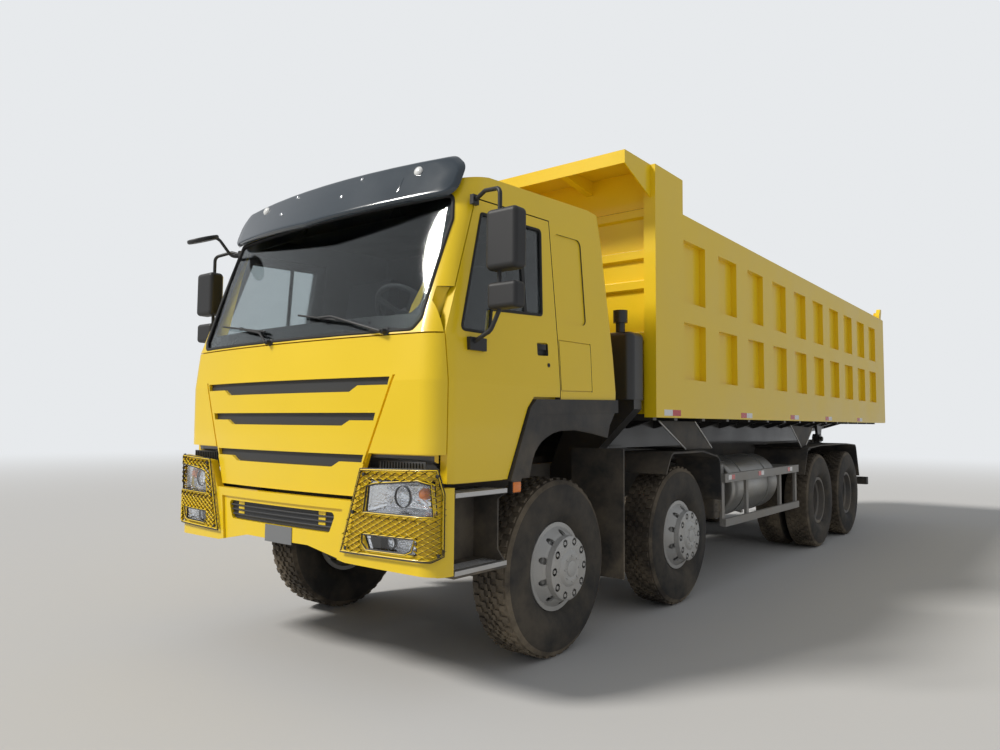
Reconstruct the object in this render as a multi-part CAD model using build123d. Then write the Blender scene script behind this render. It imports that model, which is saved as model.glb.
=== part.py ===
"""Eight-wheel-arrangement dump truck: two steered front axles, a twin-tyred rear tandem,
a tilting cab over the engine, and a tipping steel body with a front telescopic hoist.

Millimetres. Front of the truck faces -Y, its left side is +X, up is +Z. The origin is on
the ground, on the centre line, half way between the front and the rear end.
"""
from build123d import *
from functools import cache
from math import cos, hypot, sin
import os

os.makedirs("parts", exist_ok=True)

# Overall
WIDTH = 2496                   # across the dump body
FRONT_OVERHANG = 1334          # lamp guards' face to the first axle
BUMPER_OVERHANG = 1330         # bumper face to the first axle
BED_START = 1165               # first axle to the dump body's front
BED_END = 9304                 # first axle to the dump body's rear posts
GATE_GAP = 8
GATE_T = 76

# Axles: distance from each axle to the next
AXLE_1_Y = (FRONT_OVERHANG - BED_END - GATE_GAP - GATE_T) / 2
AXLE_GAPS = (1800, 3825, 1350)
AXLE_Y = [AXLE_1_Y]
for gap in AXLE_GAPS:
    AXLE_Y.append(AXLE_Y[-1] + gap)
STEERED_Y = AXLE_Y[:2]
DRIVEN_Y = AXLE_Y[2:]

# Tyres and wheels
TYRE_R = 560                   # 12.00 R20
TYRE_W = 305
BEAD_R = 254
RIM_FLANGE_R = 277
TRACK_FRONT = 2022
TRACK_REAR = 1830
TWIN_SPACING = 345
WHEEL_Z = TYRE_R               # axle height over the ground
STUD_PCD = 335
STUD_COUNT = 10
STUD_R = 11
DISC_T = 13
HUB_R = 140
KINGPIN_X = 850                # steering pivot
KINGPIN_R = 32

# Frame
RAIL_X = 430                   # outer face of a rail's web
RAIL_H = 300
RAIL_FLANGE = 80
RAIL_T = 12
RAIL_TOP = 1150
RAIL_FRONT_Y = AXLE_1_Y - 1130
TIP_BEHIND = 8250               # first axle to the tipping hinge
RAIL_REAR_Y = AXLE_1_Y + TIP_BEHIND + 120
SUBFRAME_H = 100
SUBFRAME_W = 75
SUBFRAME_FRONT_Y = AXLE_1_Y + 1330

# Dump body
BED_FRONT_Y = AXLE_1_Y + BED_START
BED_REAR_Y = AXLE_1_Y + BED_END
BED_BOTTOM = 1521              # lower edge of the side panels
BED_TOP = 3203                 # upper edge of the side panels
BED_WING_TOP = 3490            # raised front corners
BED_WING_LENGTH = 500
WALL_T = 75
PLATE_T = 12
FLOOR_Z = 1560
POST_W = 100
PANEL_COLUMNS = 10
PANEL_PITCH = 737
PANEL_WIDTH = 440
PANEL_FIRST_Y = AXLE_1_Y + 1674
PANEL_DEPTH = 55
PANEL_ROWS = ((1838, 2308), (2478, 2993))     # bottom, top of each row of pressed panels
CANOPY_FRONT_Y = AXLE_1_Y + 755
CANOPY_LIP = 100
BED_BEAM_X = 368
BED_BEAM_W = 110
TIP_Y = AXLE_1_Y + TIP_BEHIND
TIP_Z = 1265
TIP_PIN_R = 35
GATE_PIN_Z = 3300
REAR_POST_TOP = 3378

# Front hoist: a barrel and telescopic stages, from the frame up to the body's front wall
HOIST_Y = AXLE_1_Y + 930
HOIST_FOOT_Z = 1130
HOIST_EYE_Z = 2850
HOIST_PIN_R = 25
HOIST_RADII = (105, 90, 76, 63, 50)
POCKET_X = 185                 # the hoist's recess in the front wall

# Cab
CAB_HINGE_Y = AXLE_1_Y - 1215
CAB_HINGE_Z = 1140
CAB_PIN_R = 14
CAB_REST_Y = AXLE_1_Y + 560    # portal under the cab's rear
TUNNEL_X = 470                  # engine tunnel under the cab
TUNNEL_TOP = 1640
CAB_WALL = 42
CAB_BOTTOM = 1143
CAB_GAP = 8
# Plan sections of the cab: height, half width, front at the centre line, rear
CAB_SECTIONS = (
    (1000, 1216, -1305, 640),
    (1690, 1222, -1305, 640),
    (1940, 1205, -1284, 632),
    (2760, 1130, -1012, 590),
    (3020, 1095, -925, 575),
)
CAB_BOW = 95                   # how far the front's ends lie behind its middle
CAB_CORNER_R = 150
ROOF_FRONT_Z = 2880
ROOF_REAR_Z = 2965
CLEAR = 6                      # running clearance round moving panels
SEAT_GAP = 0.3                 # gap where one piece rests on another


def box(x0, x1, y0, y1, z0, z1):
    return Pos((x0 + x1) / 2, (y0 + y1) / 2, (z0 + z1) / 2) * Box(abs(x1 - x0), abs(y1 - y0), abs(z1 - z0))


def face_of(points, radius=0):
    """Closed flat outline, its corners rounded by one radius or by a list of them."""
    if radius:
        return make_face(FilletPolyline(*points, radius=radius, close=True))
    return make_face(Polyline(*points, close=True))


def along_x(points, x0, x1, radius=0):
    """Outline of (y, z) points, solid from x0 to x1."""
    plane = Plane(origin=(min(x0, x1), 0, 0), x_dir=(0, 1, 0), z_dir=(1, 0, 0))
    return extrude(plane * face_of(points, radius), amount=abs(x1 - x0))


def along_y(points, y0, y1, radius=0):
    """Outline of (x, z) points, solid from y0 to y1."""
    plane = Plane(origin=(0, max(y0, y1), 0), x_dir=(1, 0, 0), z_dir=(0, -1, 0))
    return extrude(plane * face_of(points, radius), amount=abs(y1 - y0))


def along_z(points, z0, z1, radius=0):
    """Outline of (x, y) points, solid from z0 to z1."""
    return extrude(Plane.XY.offset(min(z0, z1)) * face_of(points, radius), amount=abs(z1 - z0))


def rod(start, end, radius):
    """Round bar between two points."""
    a, b = Vector(*start), Vector(*end)
    plane = Plane(origin=a, z_dir=(b - a).normalized())
    return extrude(plane * Circle(radius), amount=(b - a).length)


def ring(start, end, outer, inner):
    """Round tube between two points."""
    a, b = Vector(*start), Vector(*end)
    plane = Plane(origin=a, z_dir=(b - a).normalized())
    return extrude(plane * (Circle(outer) - Circle(inner)), amount=(b - a).length)


def bent_tube(points, bends, radius):
    """Round tube along straight runs joined by arcs."""
    path = FilletPolyline(*points, radius=bends)
    plane = Plane(origin=path @ 0, z_dir=path % 0)
    return sweep(plane * Circle(radius), path=path)


def other_side(shape):
    return mirror(shape, about=Plane.YZ)


def both_sides(*shapes):
    return list(shapes) + [other_side(s) for s in shapes]


def solids_of(items):
    found = []
    for item in items:
        if isinstance(item, (list, tuple, ShapeList)):
            found += solids_of(item)
        else:
            found += list(item.solids())
    return found


def save(name, *items):
    solids = solids_of(items)
    shape = solids[0] if len(solids) == 1 else Compound(solids)
    export_step(shape, f"parts/{name}.step")


# Wheels, each drawn with its axis along +X and its outer side towards +X, at the origin

def tyre():
    half = TYRE_W / 2
    bead = half - 56.3
    right = (
        (TYRE_R, half - 48),
        (TYRE_R - 10, half - 26),
        (TYRE_R - 58, half - 8),
        (RIM_FLANGE_R + 130, half),
        (RIM_FLANGE_R + 40, half - 16),
        (RIM_FLANGE_R + 0.3, bead + 4),
        (BEAD_R + 6, bead),
    )
    wall = 24
    hollow_right = (
        (TYRE_R - 42, half - 70),
        (TYRE_R - 80, half - wall - 14),
        (RIM_FLANGE_R + 130, half - wall),
        (RIM_FLANGE_R + 40, bead - 24),
        (BEAD_R + 6, bead - 34),
    )
    outline = [(r, -x) for r, x in right[::-1]] + list(right)
    hollow = [(r, -x) for r, x in hollow_right[::-1]] + list(hollow_right)
    section = make_face(Polyline(*[(x, 0, r) for r, x in outline], close=True))
    section -= make_face(Polyline(*[(x, 0, r) for r, x in hollow], close=True))
    return revolve(section, axis=Axis.X)


def rim(dish):
    """Steel wheel: barrel with flanges, and a disc whose hub face stands out by dish."""
    half = TYRE_W / 2 - 40
    barrel = (
        (-half + 2, RIM_FLANGE_R),
        (-half + 12, RIM_FLANGE_R),
        (-half + 16, BEAD_R + 5.7),
        (-50, BEAD_R + 4),
        (-30, BEAD_R - 14),
        (30, BEAD_R - 14),
        (50, BEAD_R + 4),
        (half - 16, BEAD_R + 5.7),
        (half - 12, RIM_FLANGE_R),
        (half - 2, RIM_FLANGE_R),
        (half - 2, BEAD_R - 6),
        (50, BEAD_R - 8),
        (34, BEAD_R - 26),
        (-34, BEAD_R - 26),
        (-50, BEAD_R - 8),
        (-half + 2, BEAD_R - 6),
    )
    body = revolve(make_face(Polyline(*[(x, 0, r) for x, r in barrel], close=True)), axis=Axis.X)
    disc = (
        (dish, 90),
        (dish, 200),
        (dish - 14, 214),
        (dish - 52, BEAD_R - 12),
        (dish - 62, BEAD_R - 4),
        (dish - 78, BEAD_R - 4),
        (dish - 78, BEAD_R - 16),
        (dish - 58, BEAD_R - 24),
        (dish - 24, 204),
        (dish - DISC_T, 194),
        (dish - DISC_T, 90),
    )
    plate = revolve(make_face(Polyline(*[(x, 0, r) for x, r in disc], close=True)), axis=Axis.X)
    for i in range(STUD_COUNT):
        turn = Rot(X=i * 360 / STUD_COUNT)
        plate -= turn * rod((dish - 120, 0, 212), (dish + 40, 0, 212), 22)
    return body + plate


def hub(face_x, depth, bore_r, nose):
    """Hub and brake drum. The disc bolts on at face_x; the drum reaches depth further in."""
    drum_r, drum_wall = 205, 14
    outline = (
        (face_x - DISC_T - depth, bore_r),
        (face_x - DISC_T - depth, bore_r + 30),
        (face_x - DISC_T - 60, bore_r + 34),
        (face_x - DISC_T - 40, drum_r - drum_wall),
        (face_x - DISC_T - depth, drum_r - drum_wall),
        (face_x - DISC_T - depth, drum_r),
        (face_x - DISC_T - 20, drum_r),
        (face_x - DISC_T, HUB_R),
        (face_x - DISC_T, 90),
        (face_x + nose * 0.6, 88),
        (face_x + nose * 0.75, 72),
        (face_x + nose, 66),
        (face_x + nose, 0),
        (face_x + nose - 30, 0),
        (face_x + nose - 30, bore_r),
    )
    body = revolve(make_face(Polyline(*[(x, 0, r) for x, r in outline], close=True)), axis=Axis.X)
    for i in range(STUD_COUNT):
        turn = Rot(X=(i + 0.5) * 360 / STUD_COUNT)
        body += turn * rod((face_x - DISC_T - 5, 0, STUD_PCD / 2), (face_x + 42, 0, STUD_PCD / 2), STUD_R)
    return body


DISH = TWIN_SPACING / 2        # the disc's outer face, from the middle of the wheel
SPINDLE_R = 45
BORE_GAP = 0.3
TYRE = tyre()
RIM = rim(DISH)
FRONT_HUB = hub(DISH, 190, SPINDLE_R + BORE_GAP, 50)
REAR_HUB = hub(0, 205, 70 + BORE_GAP, 150)
SPINDLE_TIP = DISH + 15
turned_in = Rot(Z=180)

# Steered wheels and the knuckles that carry them
for axle, axle_y in enumerate(STEERED_Y, start=1):
    place = Pos(TRACK_FRONT / 2, axle_y, WHEEL_Z)
    wheel = place * (RIM + FRONT_HUB)
    tyre_solid = place * TYRE
    spindle = rod((KINGPIN_X, axle_y, WHEEL_Z), (TRACK_FRONT / 2 + SPINDLE_TIP, axle_y, WHEEL_Z), SPINDLE_R)
    ears = box(KINGPIN_X - 60, KINGPIN_X + 60, axle_y - 60, axle_y + 60, WHEEL_Z - 130, WHEEL_Z + 130)
    ears -= box(KINGPIN_X - 100, KINGPIN_X + 64, axle_y - 80, axle_y + 80, WHEEL_Z - 62, WHEEL_Z + 62)
    web = box(KINGPIN_X + 61, KINGPIN_X + 95, axle_y - 62, axle_y + 62, WHEEL_Z - 130, WHEEL_Z + 130)
    web += box(KINGPIN_X + 40, KINGPIN_X + 70, axle_y - 60, axle_y + 60, WHEEL_Z - 130, WHEEL_Z - 70)
    web += box(KINGPIN_X + 40, KINGPIN_X + 70, axle_y - 60, axle_y + 60, WHEEL_Z + 70, WHEEL_Z + 130)
    arm = box(KINGPIN_X - 30, KINGPIN_X + 20, axle_y + 50, axle_y + 230, WHEEL_Z - 130, WHEEL_Z - 95)
    spindle -= box(0, KINGPIN_X + 62, axle_y - 60, axle_y + 60, WHEEL_Z - 60, WHEEL_Z + 60)
    bore = rod((KINGPIN_X, axle_y, WHEEL_Z - 160), (KINGPIN_X, axle_y, WHEEL_Z + 160), KINGPIN_R + BORE_GAP)
    knuckle = ears + web + arm + spindle - bore
    for side, turn in (("left", lambda s: s), ("right", other_side)):
        save(f"tyre_{axle}_{side}", turn(tyre_solid))
        save(f"wheel_{axle}_{side}", turn(wheel))
        save(f"knuckle_{axle}_{side}", turn(knuckle))

# Driven wheels: twin tyres on one hub
for axle, axle_y in enumerate(DRIVEN_Y, start=3):
    place = Pos(TRACK_REAR / 2, axle_y, WHEEL_Z)
    inner = place * Pos(-DISH, 0, 0)
    outer = place * Pos(DISH, 0, 0) * turned_in
    tyres = [inner * TYRE, outer * TYRE]
    wheels = inner * RIM + outer * RIM + place * REAR_HUB
    for side, turn in (("left", lambda s: s), ("right", other_side)):
        save(f"tyres_{axle}_{side}", [turn(t) for t in tyres])
        save(f"wheels_{axle}_{side}", turn(wheels))

# Axles
axle_parts = []
for axle_y in STEERED_Y:
    beam_z = WHEEL_Z - 90
    beam = box(-620, 620, axle_y - 45, axle_y + 45, beam_z - 55, beam_z + 55)
    beam -= both_sides(box(-560, 560, axle_y - 60, axle_y - 18, beam_z - 32, beam_z + 32))[0]
    beam -= box(-560, 560, axle_y + 18, axle_y + 60, beam_z - 32, beam_z + 32)
    for s in (-1, 1):
        rise = along_y([(s * 560, beam_z - 50), (s * 640, beam_z - 50), (s * (KINGPIN_X - 95), WHEEL_Z - 58),
                        (s * (KINGPIN_X + 35), WHEEL_Z - 60), (s * (KINGPIN_X + 35), WHEEL_Z + 60),
                        (s * (KINGPIN_X - 95), WHEEL_Z + 60), (s * 590, beam_z + 55)],
                       axle_y - 45, axle_y + 45)
        beam += rise
        beam += rod((s * KINGPIN_X, axle_y, WHEEL_Z - 150), (s * KINGPIN_X, axle_y, WHEEL_Z + 150), KINGPIN_R)
    axle_parts.append(beam)
for axle_y in DRIVEN_Y:
    housing = rod((-820, axle_y, WHEEL_Z), (820, axle_y, WHEEL_Z), 70)
    bowl = Pos(60, axle_y, WHEEL_Z) * Sphere(205)
    nose = Pos(60, axle_y - 230, WHEEL_Z + 20) * Rot(X=90) * Cone(150, 85, 180)
    taper = ring((-560, axle_y, WHEEL_Z), (560, axle_y, WHEEL_Z), 92, 40)
    axle_parts.append(housing + bowl + nose + taper)
save("axles", axle_parts)

# Leaf springs: a steered axle's pack hangs from the frame's brackets, the tandem's rests on a trunnion
SPRING_X = RAIL_X - 45
SPRING_W = 80
RAIL_BOTTOM = RAIL_TOP - RAIL_H


def leaf_pack(centre_y, z, half_length, rise, leaves, leaf_t, side):
    """Leaves on concentric arcs. z is the longest leaf's middle; the ends lie rise higher,
    and the shorter leaves follow on the hollow's far side."""
    bend = 1 if rise > 0 else -1
    radius = (half_length ** 2 + rise ** 2) / (2 * abs(rise))
    centre_z = z + bend * radius
    pack = None
    for i in range(leaves):
        inner_r, outer_r = radius + leaf_t * i, radius + leaf_t * (i + 1)
        swing = half_length * (1 - 0.115 * i) / radius
        ends = [(centre_y + r * sin(a), centre_z - bend * r * cos(a))
                for r, a in ((inner_r, -swing), (inner_r, swing), (outer_r, swing), (outer_r, -swing))]
        near = ThreePointArc(ends[0], (centre_y, centre_z - bend * inner_r), ends[1])
        far = ThreePointArc(ends[2], (centre_y, centre_z - bend * outer_r), ends[3])
        outline = near + Line(near @ 1, far @ 0) + far + Line(far @ 1, near @ 0)
        plane = Plane(origin=(side * SPRING_X - SPRING_W / 2, 0, 0), x_dir=(0, 1, 0), z_dir=(1, 0, 0))
        leaf = extrude(plane * make_face(outline), amount=SPRING_W)
        pack = leaf if pack is None else pack + leaf
    return pack


springs = []
for axle_y in STEERED_Y:
    for s in (-1, 1):
        half, rise, thick = 780, 150, 16
        top_z = WHEEL_Z - 90 + 55 + 6 * thick
        pack = leaf_pack(axle_y, top_z, half, rise, 5, thick, s)
        for end in (-1, 1):
            eye_y = axle_y + end * (half + 18)
            eye_z = top_z + rise - thick / 2
            pack += ring((s * SPRING_X - SPRING_W / 2, eye_y, eye_z), (s * SPRING_X + SPRING_W / 2, eye_y, eye_z), 34, 18)
            bracket = along_x([(eye_y - 70, RAIL_BOTTOM), (eye_y + 70, RAIL_BOTTOM), (eye_y + 30, eye_z + 20),
                               (eye_y + 30, eye_z - 45), (eye_y - 30, eye_z - 45), (eye_y - 30, eye_z + 20)],
                              s * SPRING_X - SPRING_W / 2 - 14, s * SPRING_X + SPRING_W / 2 + 14)
            bracket -= box(s * SPRING_X - SPRING_W / 2 - 2, s * SPRING_X + SPRING_W / 2 + 2,
                           eye_y - 60, eye_y + 60, eye_z - 60, eye_z + 42)
            pack += bracket
            pack += rod((s * SPRING_X - 58, eye_y, eye_z), (s * SPRING_X + 58, eye_y, eye_z), 18)
        seat = box(s * SPRING_X - 60, s * SPRING_X + 60, axle_y - 90, axle_y + 90, WHEEL_Z - 35, top_z - 4.5 * thick)
        springs.append(pack + seat)
tandem_y = (DRIVEN_Y[0] + DRIVEN_Y[1]) / 2
for s in (-1, 1):
    half, drop, thick = 690, -50, 16
    x0, x1 = s * SPRING_X - SPRING_W / 2, s * SPRING_X + SPRING_W / 2
    low_z = WHEEL_Z + 170
    pack = leaf_pack(tandem_y, low_z, half, drop, 6, thick, s)
    saddle = box(x0, x1, tandem_y - 110, tandem_y + 110, WHEEL_Z + 40, low_z + 2)
    trunnion = along_x([(tandem_y - 260, RAIL_BOTTOM), (tandem_y + 260, RAIL_BOTTOM), (tandem_y + 90, WHEEL_Z - 60),
                        (tandem_y - 90, WHEEL_Z - 60)], s * (SPRING_X - SPRING_W / 2 - 5), s * (SPRING_X - SPRING_W / 2 - 45))
    shaft = rod((s * (SPRING_X - 60), tandem_y, WHEEL_Z + 20), (s * (SPRING_X + 60), tandem_y, WHEEL_Z + 20), 55)
    springs.append(pack + saddle + trunnion + shaft)
    for axle_y in DRIVEN_Y:
        pad = box(x0, x1, axle_y - 70, axle_y + 70, WHEEL_Z + 40, low_z + drop - SEAT_GAP)
        springs.append(pad - rod((x0 - 5, axle_y, WHEEL_Z), (x1 + 5, axle_y, WHEEL_Z), 92 + SEAT_GAP))
save("leaf_springs", springs)

# Frame: two channel rails, cross members, and the subframe that the body and hoist bear on
def rail(side):
    outer = side * RAIL_X
    web = side * (RAIL_X - RAIL_T)
    lip = side * (RAIL_X - RAIL_FLANGE)
    return along_y([(outer, RAIL_BOTTOM), (outer, RAIL_TOP), (lip, RAIL_TOP), (lip, RAIL_TOP - RAIL_T),
                    (web, RAIL_TOP - RAIL_T), (web, RAIL_BOTTOM + RAIL_T), (lip, RAIL_BOTTOM + RAIL_T),
                    (lip, RAIL_BOTTOM)], RAIL_FRONT_Y, RAIL_REAR_Y)


SUBFRAME_TOP = RAIL_TOP + SUBFRAME_H
CROSS_MEMBERS = (-1060, 690, 1230, 2400, 3600, 4800, 5640, 6960, 7700, 8310)    # behind the first axle
frame = rail(1) + rail(-1)
for behind in CROSS_MEMBERS:
    y = AXLE_1_Y + behind
    frame += box(-RAIL_X + RAIL_T / 2, RAIL_X - RAIL_T / 2, y - 40, y + 40, RAIL_BOTTOM + 60, RAIL_TOP - 50)
for s in (-1, 1):
    frame += box(s * (RAIL_X - SUBFRAME_W), s * RAIL_X, SUBFRAME_FRONT_Y, RAIL_REAR_Y, RAIL_TOP, SUBFRAME_TOP)
    ear = along_x([(TIP_Y - 150, SUBFRAME_TOP), (RAIL_REAR_Y, SUBFRAME_TOP), (RAIL_REAR_Y, TIP_Z - 120),
                   (RAIL_REAR_Y, RAIL_BOTTOM), (TIP_Y - 150, RAIL_BOTTOM)], s * RAIL_X, s * (RAIL_X + 20))
    frame += ear
    boss = rod((s * RAIL_X, TIP_Y, TIP_Z), (s * (RAIL_X + 45), TIP_Y, TIP_Z), 75)
    frame += boss
    frame += rod((s * (RAIL_X + 10), TIP_Y, TIP_Z), (s * (RAIL_X + 140), TIP_Y, TIP_Z), TIP_PIN_R)
for s in (-1, 1):
    frame += box(s * 125, s * 150, AXLE_1_Y + 690, AXLE_1_Y + 1230, HOIST_FOOT_Z - 90, HOIST_FOOT_Z + 55)
frame += rod((-150, HOIST_Y, HOIST_FOOT_Z), (150, HOIST_Y, HOIST_FOOT_Z), HOIST_PIN_R)
# Cab hinge brackets at the rails' front ends, and the portal that carries the cab's rear
for s in (-1, 1):
    frame += along_x([(CAB_HINGE_Y - 22, CAB_HINGE_Z - 20), (CAB_HINGE_Y + 48, CAB_HINGE_Z - 24),
                      (RAIL_FRONT_Y + 10, RAIL_TOP - 150), (RAIL_FRONT_Y + 120, RAIL_TOP - 150),
                      (RAIL_FRONT_Y + 120, RAIL_TOP), (CAB_HINGE_Y + 40, CAB_HINGE_Z + 26),
                      (CAB_HINGE_Y - 22, CAB_HINGE_Z + 22)], s * RAIL_X, s * (RAIL_X + 20))
    frame += rod((s * (RAIL_X + 10), CAB_HINGE_Y, CAB_HINGE_Z), (s * 560, CAB_HINGE_Y, CAB_HINGE_Z), CAB_PIN_R)
    frame += box(s * 350, s * 410, CAB_REST_Y - 35, CAB_REST_Y + 35, RAIL_TOP, TUNNEL_TOP - 60)
frame += box(-445, 445, CAB_REST_Y - 35, CAB_REST_Y + 35, TUNNEL_TOP - 80, TUNNEL_TOP - SEAT_GAP)
save("frame", frame)

# Engine as one plain block, with the gearbox and the shafts to the driven axles
engine_y0, engine_y1 = AXLE_1_Y - 680, AXLE_1_Y + 500
engine = along_y([(-330, 830), (-210, 640), (210, 640), (330, 830), (330, 1420), (250, 1500), (-250, 1500),
                  (-330, 1420)], engine_y0, engine_y1)
for s in (-1, 1):
    for y in (engine_y0 + 200, engine_y1 - 260):
        engine += box(s * 329, s * (RAIL_X - RAIL_T - SEAT_GAP), y - 50, y + 50, 900, 1000)
gear_z = 740
gear_end = engine_y1 + 740
gearbox = rod((0, engine_y1 - 5, gear_z), (0, engine_y1 + 260, gear_z), 158)
gearbox += rod((0, engine_y1 + 250, gear_z), (0, gear_end, gear_z), 120)
shaft_front = rod((0, gear_end - 10, gear_z), (0, AXLE_1_Y + 3600, gear_z + 40), 55)
shaft_mid = rod((0, AXLE_1_Y + 3590, gear_z + 40), (60, DRIVEN_Y[0] - 327, WHEEL_Z + 20), 50)
shaft_rear = rod((60, DRIVEN_Y[0] + 205.3, WHEEL_Z + 20), (60, DRIVEN_Y[1] - 320.3, WHEEL_Z + 20), 45)
save("driveline", engine + gearbox + shaft_front + shaft_mid, shaft_rear)

# Tanks and boxes on the frame's sides
BRACKET_X = RAIL_X + SEAT_GAP
fuel_y0, fuel_y1 = AXLE_1_Y + 3150, AXLE_1_Y + 4450
fuel_r = 300
fuel_c = (RAIL_X + 60 + fuel_r, 850)
tank = Pos(fuel_c[0], (fuel_y0 + fuel_y1) / 2, fuel_c[1]) * Rot(X=90) * Cylinder(fuel_r, fuel_y1 - fuel_y0)
tank = fillet(tank.edges().filter_by(GeomType.CIRCLE), 35)
straps = []
for y in (fuel_y0 + 300, fuel_y1 - 300):
    strap = Pos(fuel_c[0], y, fuel_c[1]) * Rot(X=90) * (Cylinder(fuel_r + 8, 60) - Cylinder(fuel_r - 1, 62))
    bracket = along_y([(RAIL_X, 1120), (RAIL_X + 55, 1120), (RAIL_X + 95, fuel_c[1] + 120), (RAIL_X + 60, fuel_c[1]),
                       (RAIL_X + 120, fuel_c[1] - 190), (fuel_c[0], fuel_c[1] - fuel_r - 4),
                       (fuel_c[0], fuel_c[1] - fuel_r - 45), (RAIL_X, fuel_c[1] - fuel_r + 30)], y - 30, y + 30)
    bracket -= Pos(fuel_c[0], y, fuel_c[1]) * Rot(X=90) * Cylinder(fuel_r - 0.5, 80)
    straps.append(strap + bracket)
save("fuel_tank", tank + straps[0] + straps[1])

boxes = []
battery = box(RAIL_X, 1010, AXLE_1_Y + 2720, AXLE_1_Y + 3080, 640, 1100)
battery = fillet(battery.edges().filter_by(Axis.Y), 40)
boxes.append(battery)
locker = box(-RAIL_X, -1080, AXLE_1_Y + 2720, AXLE_1_Y + 3300, 620, 1100)
boxes.append(fillet(locker.edges().filter_by(Axis.Y), 40))
tanks = []
for z in (770, 1010):
    air = rod((-RAIL_X - 190, AXLE_1_Y + 3420, z), (-RAIL_X - 190, AXLE_1_Y + 4560, z), 115)
    tanks.append(fillet(air.edges().filter_by(GeomType.CIRCLE), 40))
air = tanks[0] + tanks[1]
for y in (3650, 4300):
    air += box(-RAIL_X, -RAIL_X - 150, AXLE_1_Y + y - 25, AXLE_1_Y + y + 25, 730, 1050)
boxes.append(air)
save("chassis_boxes", boxes)

# Side guards between the front and the rear wheels
GUARD_X = 1200
GUARD_Y0, GUARD_Y1 = AXLE_1_Y + 2640, AXLE_1_Y + 4845
guards = []
for s in (-1, 1):
    for z0, z1 in ((540, 610), (940, 1020)):
        guards.append(box(s * (GUARD_X - 30), s * GUARD_X, GUARD_Y0, GUARD_Y1, z0, z1))
    guard = guards[-1] + guards[-2]
    del guards[-2:]
    for y in (GUARD_Y0 + 20, GUARD_Y0 + 640, GUARD_Y1 - 560, GUARD_Y1 - 20):
        guard += box(s * (GUARD_X - 55), s * (GUARD_X - 29), y - 30, y + 30, 545, 1015)
    for y in (GUARD_Y0 + 20, GUARD_Y1 - 20):
        guard += box(s * RAIL_X, s * (GUARD_X - 40), y - 25, y + 25, 1015 - 60, 1015)
    guards.append(guard)
save("side_guards", guards)

# Hydraulic oil tank on the left, behind the cab
oil_x0, oil_x1 = 640, 1190
oil_y0, oil_y1 = AXLE_1_Y + 880, AXLE_1_Y + 1110
oil_z0, oil_z1 = 1650, 2160
oil_y = (oil_y0 + oil_y1) / 2
neck_x = 1035
oil = box(oil_x0, oil_x1, oil_y0, oil_y1, oil_z0, oil_z1)
oil = fillet(oil.edges().filter_by(Axis.Z), 60)
oil = fillet(oil.edges().group_by(Axis.Z)[-1], 45)
oil += rod((neck_x, oil_y, oil_z1 - 10), (neck_x, oil_y, oil_z1 + 90), 36)
oil += rod((neck_x, oil_y, oil_z1 + 80), (neck_x, oil_y, oil_z1 + 175), 55)
oil += along_y([(RAIL_X, 1120), (RAIL_X, 900), (RAIL_X + 60, 900), (oil_x1 - 10, oil_z0 - 70),
                (oil_x1 - 10, oil_z0 + 1), (oil_x0 - 10, oil_z0 + 1), (oil_x0 - 10, oil_z0 - 60)],
               oil_y - 60, oil_y + 60)
save("oil_tank", oil)

# Rear under-run bar with its brackets, and the tail lamps
bar_y = RAIL_REAR_Y - 40
bar = box(-1180, 1180, bar_y - 50, bar_y + 50, 590, 700)
for s in (-1, 1):
    bar += box(s * (RAIL_X - 90), s * (RAIL_X - 20), bar_y - 40, bar_y + 40, 695, RAIL_BOTTOM - 0)
save("rear_bar", bar)

# Exhaust silencer on the right, between the two steered wheels
exhaust_x = -RAIL_X - 220
exhaust_y0, exhaust_y1 = AXLE_1_Y + 735, AXLE_1_Y + 1135
exhaust_z = 760
silencer = rod((exhaust_x, exhaust_y0, exhaust_z), (exhaust_x, exhaust_y1, exhaust_z), 165)
silencer = fillet(silencer.edges().filter_by(GeomType.CIRCLE), 30)
silencer += rod((exhaust_x, exhaust_y1 - 90, exhaust_z), (exhaust_x - 40, exhaust_y1 - 90, exhaust_z - 235), 50)
silencer += box(-RAIL_X, exhaust_x, exhaust_y0 + 150, exhaust_y0 + 230, RAIL_BOTTOM + 20, RAIL_BOTTOM + 80)
save("exhaust", silencer)

# Steps under the doors: a side plate with two treads, hung from the frame
STEP_Y0, STEP_Y1 = AXLE_1_Y - 1100, AXLE_1_Y - 662
STEP_X = 1235
STEP_IN = 985
steps = []
step = box(STEP_X - 250, STEP_X, STEP_Y0, STEP_Y1, 665, 700)
step += box(STEP_X - 190, STEP_X, STEP_Y0, STEP_Y1, 1075, 1100)
step += box(STEP_X - 250, STEP_X - 235, STEP_Y0, STEP_Y1, 665, 1100)
for y in (STEP_Y0, STEP_Y1 - 12):
    step += along_y([(STEP_X - 250, 665), (STEP_X - 10, 665), (STEP_X - 10, 700), (STEP_X - 60, 760),
                     (STEP_X - 60, 1040), (STEP_X - 10, 1075), (STEP_X - 10, 1100), (STEP_X - 250, 1100)], y, y + 12)
step += box(RAIL_X, STEP_X - 249, STEP_Y0 + 60, STEP_Y0 + 120, RAIL_BOTTOM + 20, RAIL_BOTTOM + 110)
steps += both_sides(step)
save("steps", steps)

# Mudguards: arches and flaps of the steered wheels, plates of the driven ones
ARCH_T = 14
arch_x0, arch_x1 = 800, 1236


def arch(points, x0, x1, t=ARCH_T):
    """Bent strip that follows (y, z) points, with its thickness below the line."""
    path = FilletPolyline(*[(y, z) for y, z in points], radius=90)
    band = trace(path, line_width=t)
    plane = Plane(origin=(min(x0, x1), 0, 0), x_dir=(0, 1, 0), z_dir=(1, 0, 0))
    return extrude(plane * band, amount=abs(x1 - x0))


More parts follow.
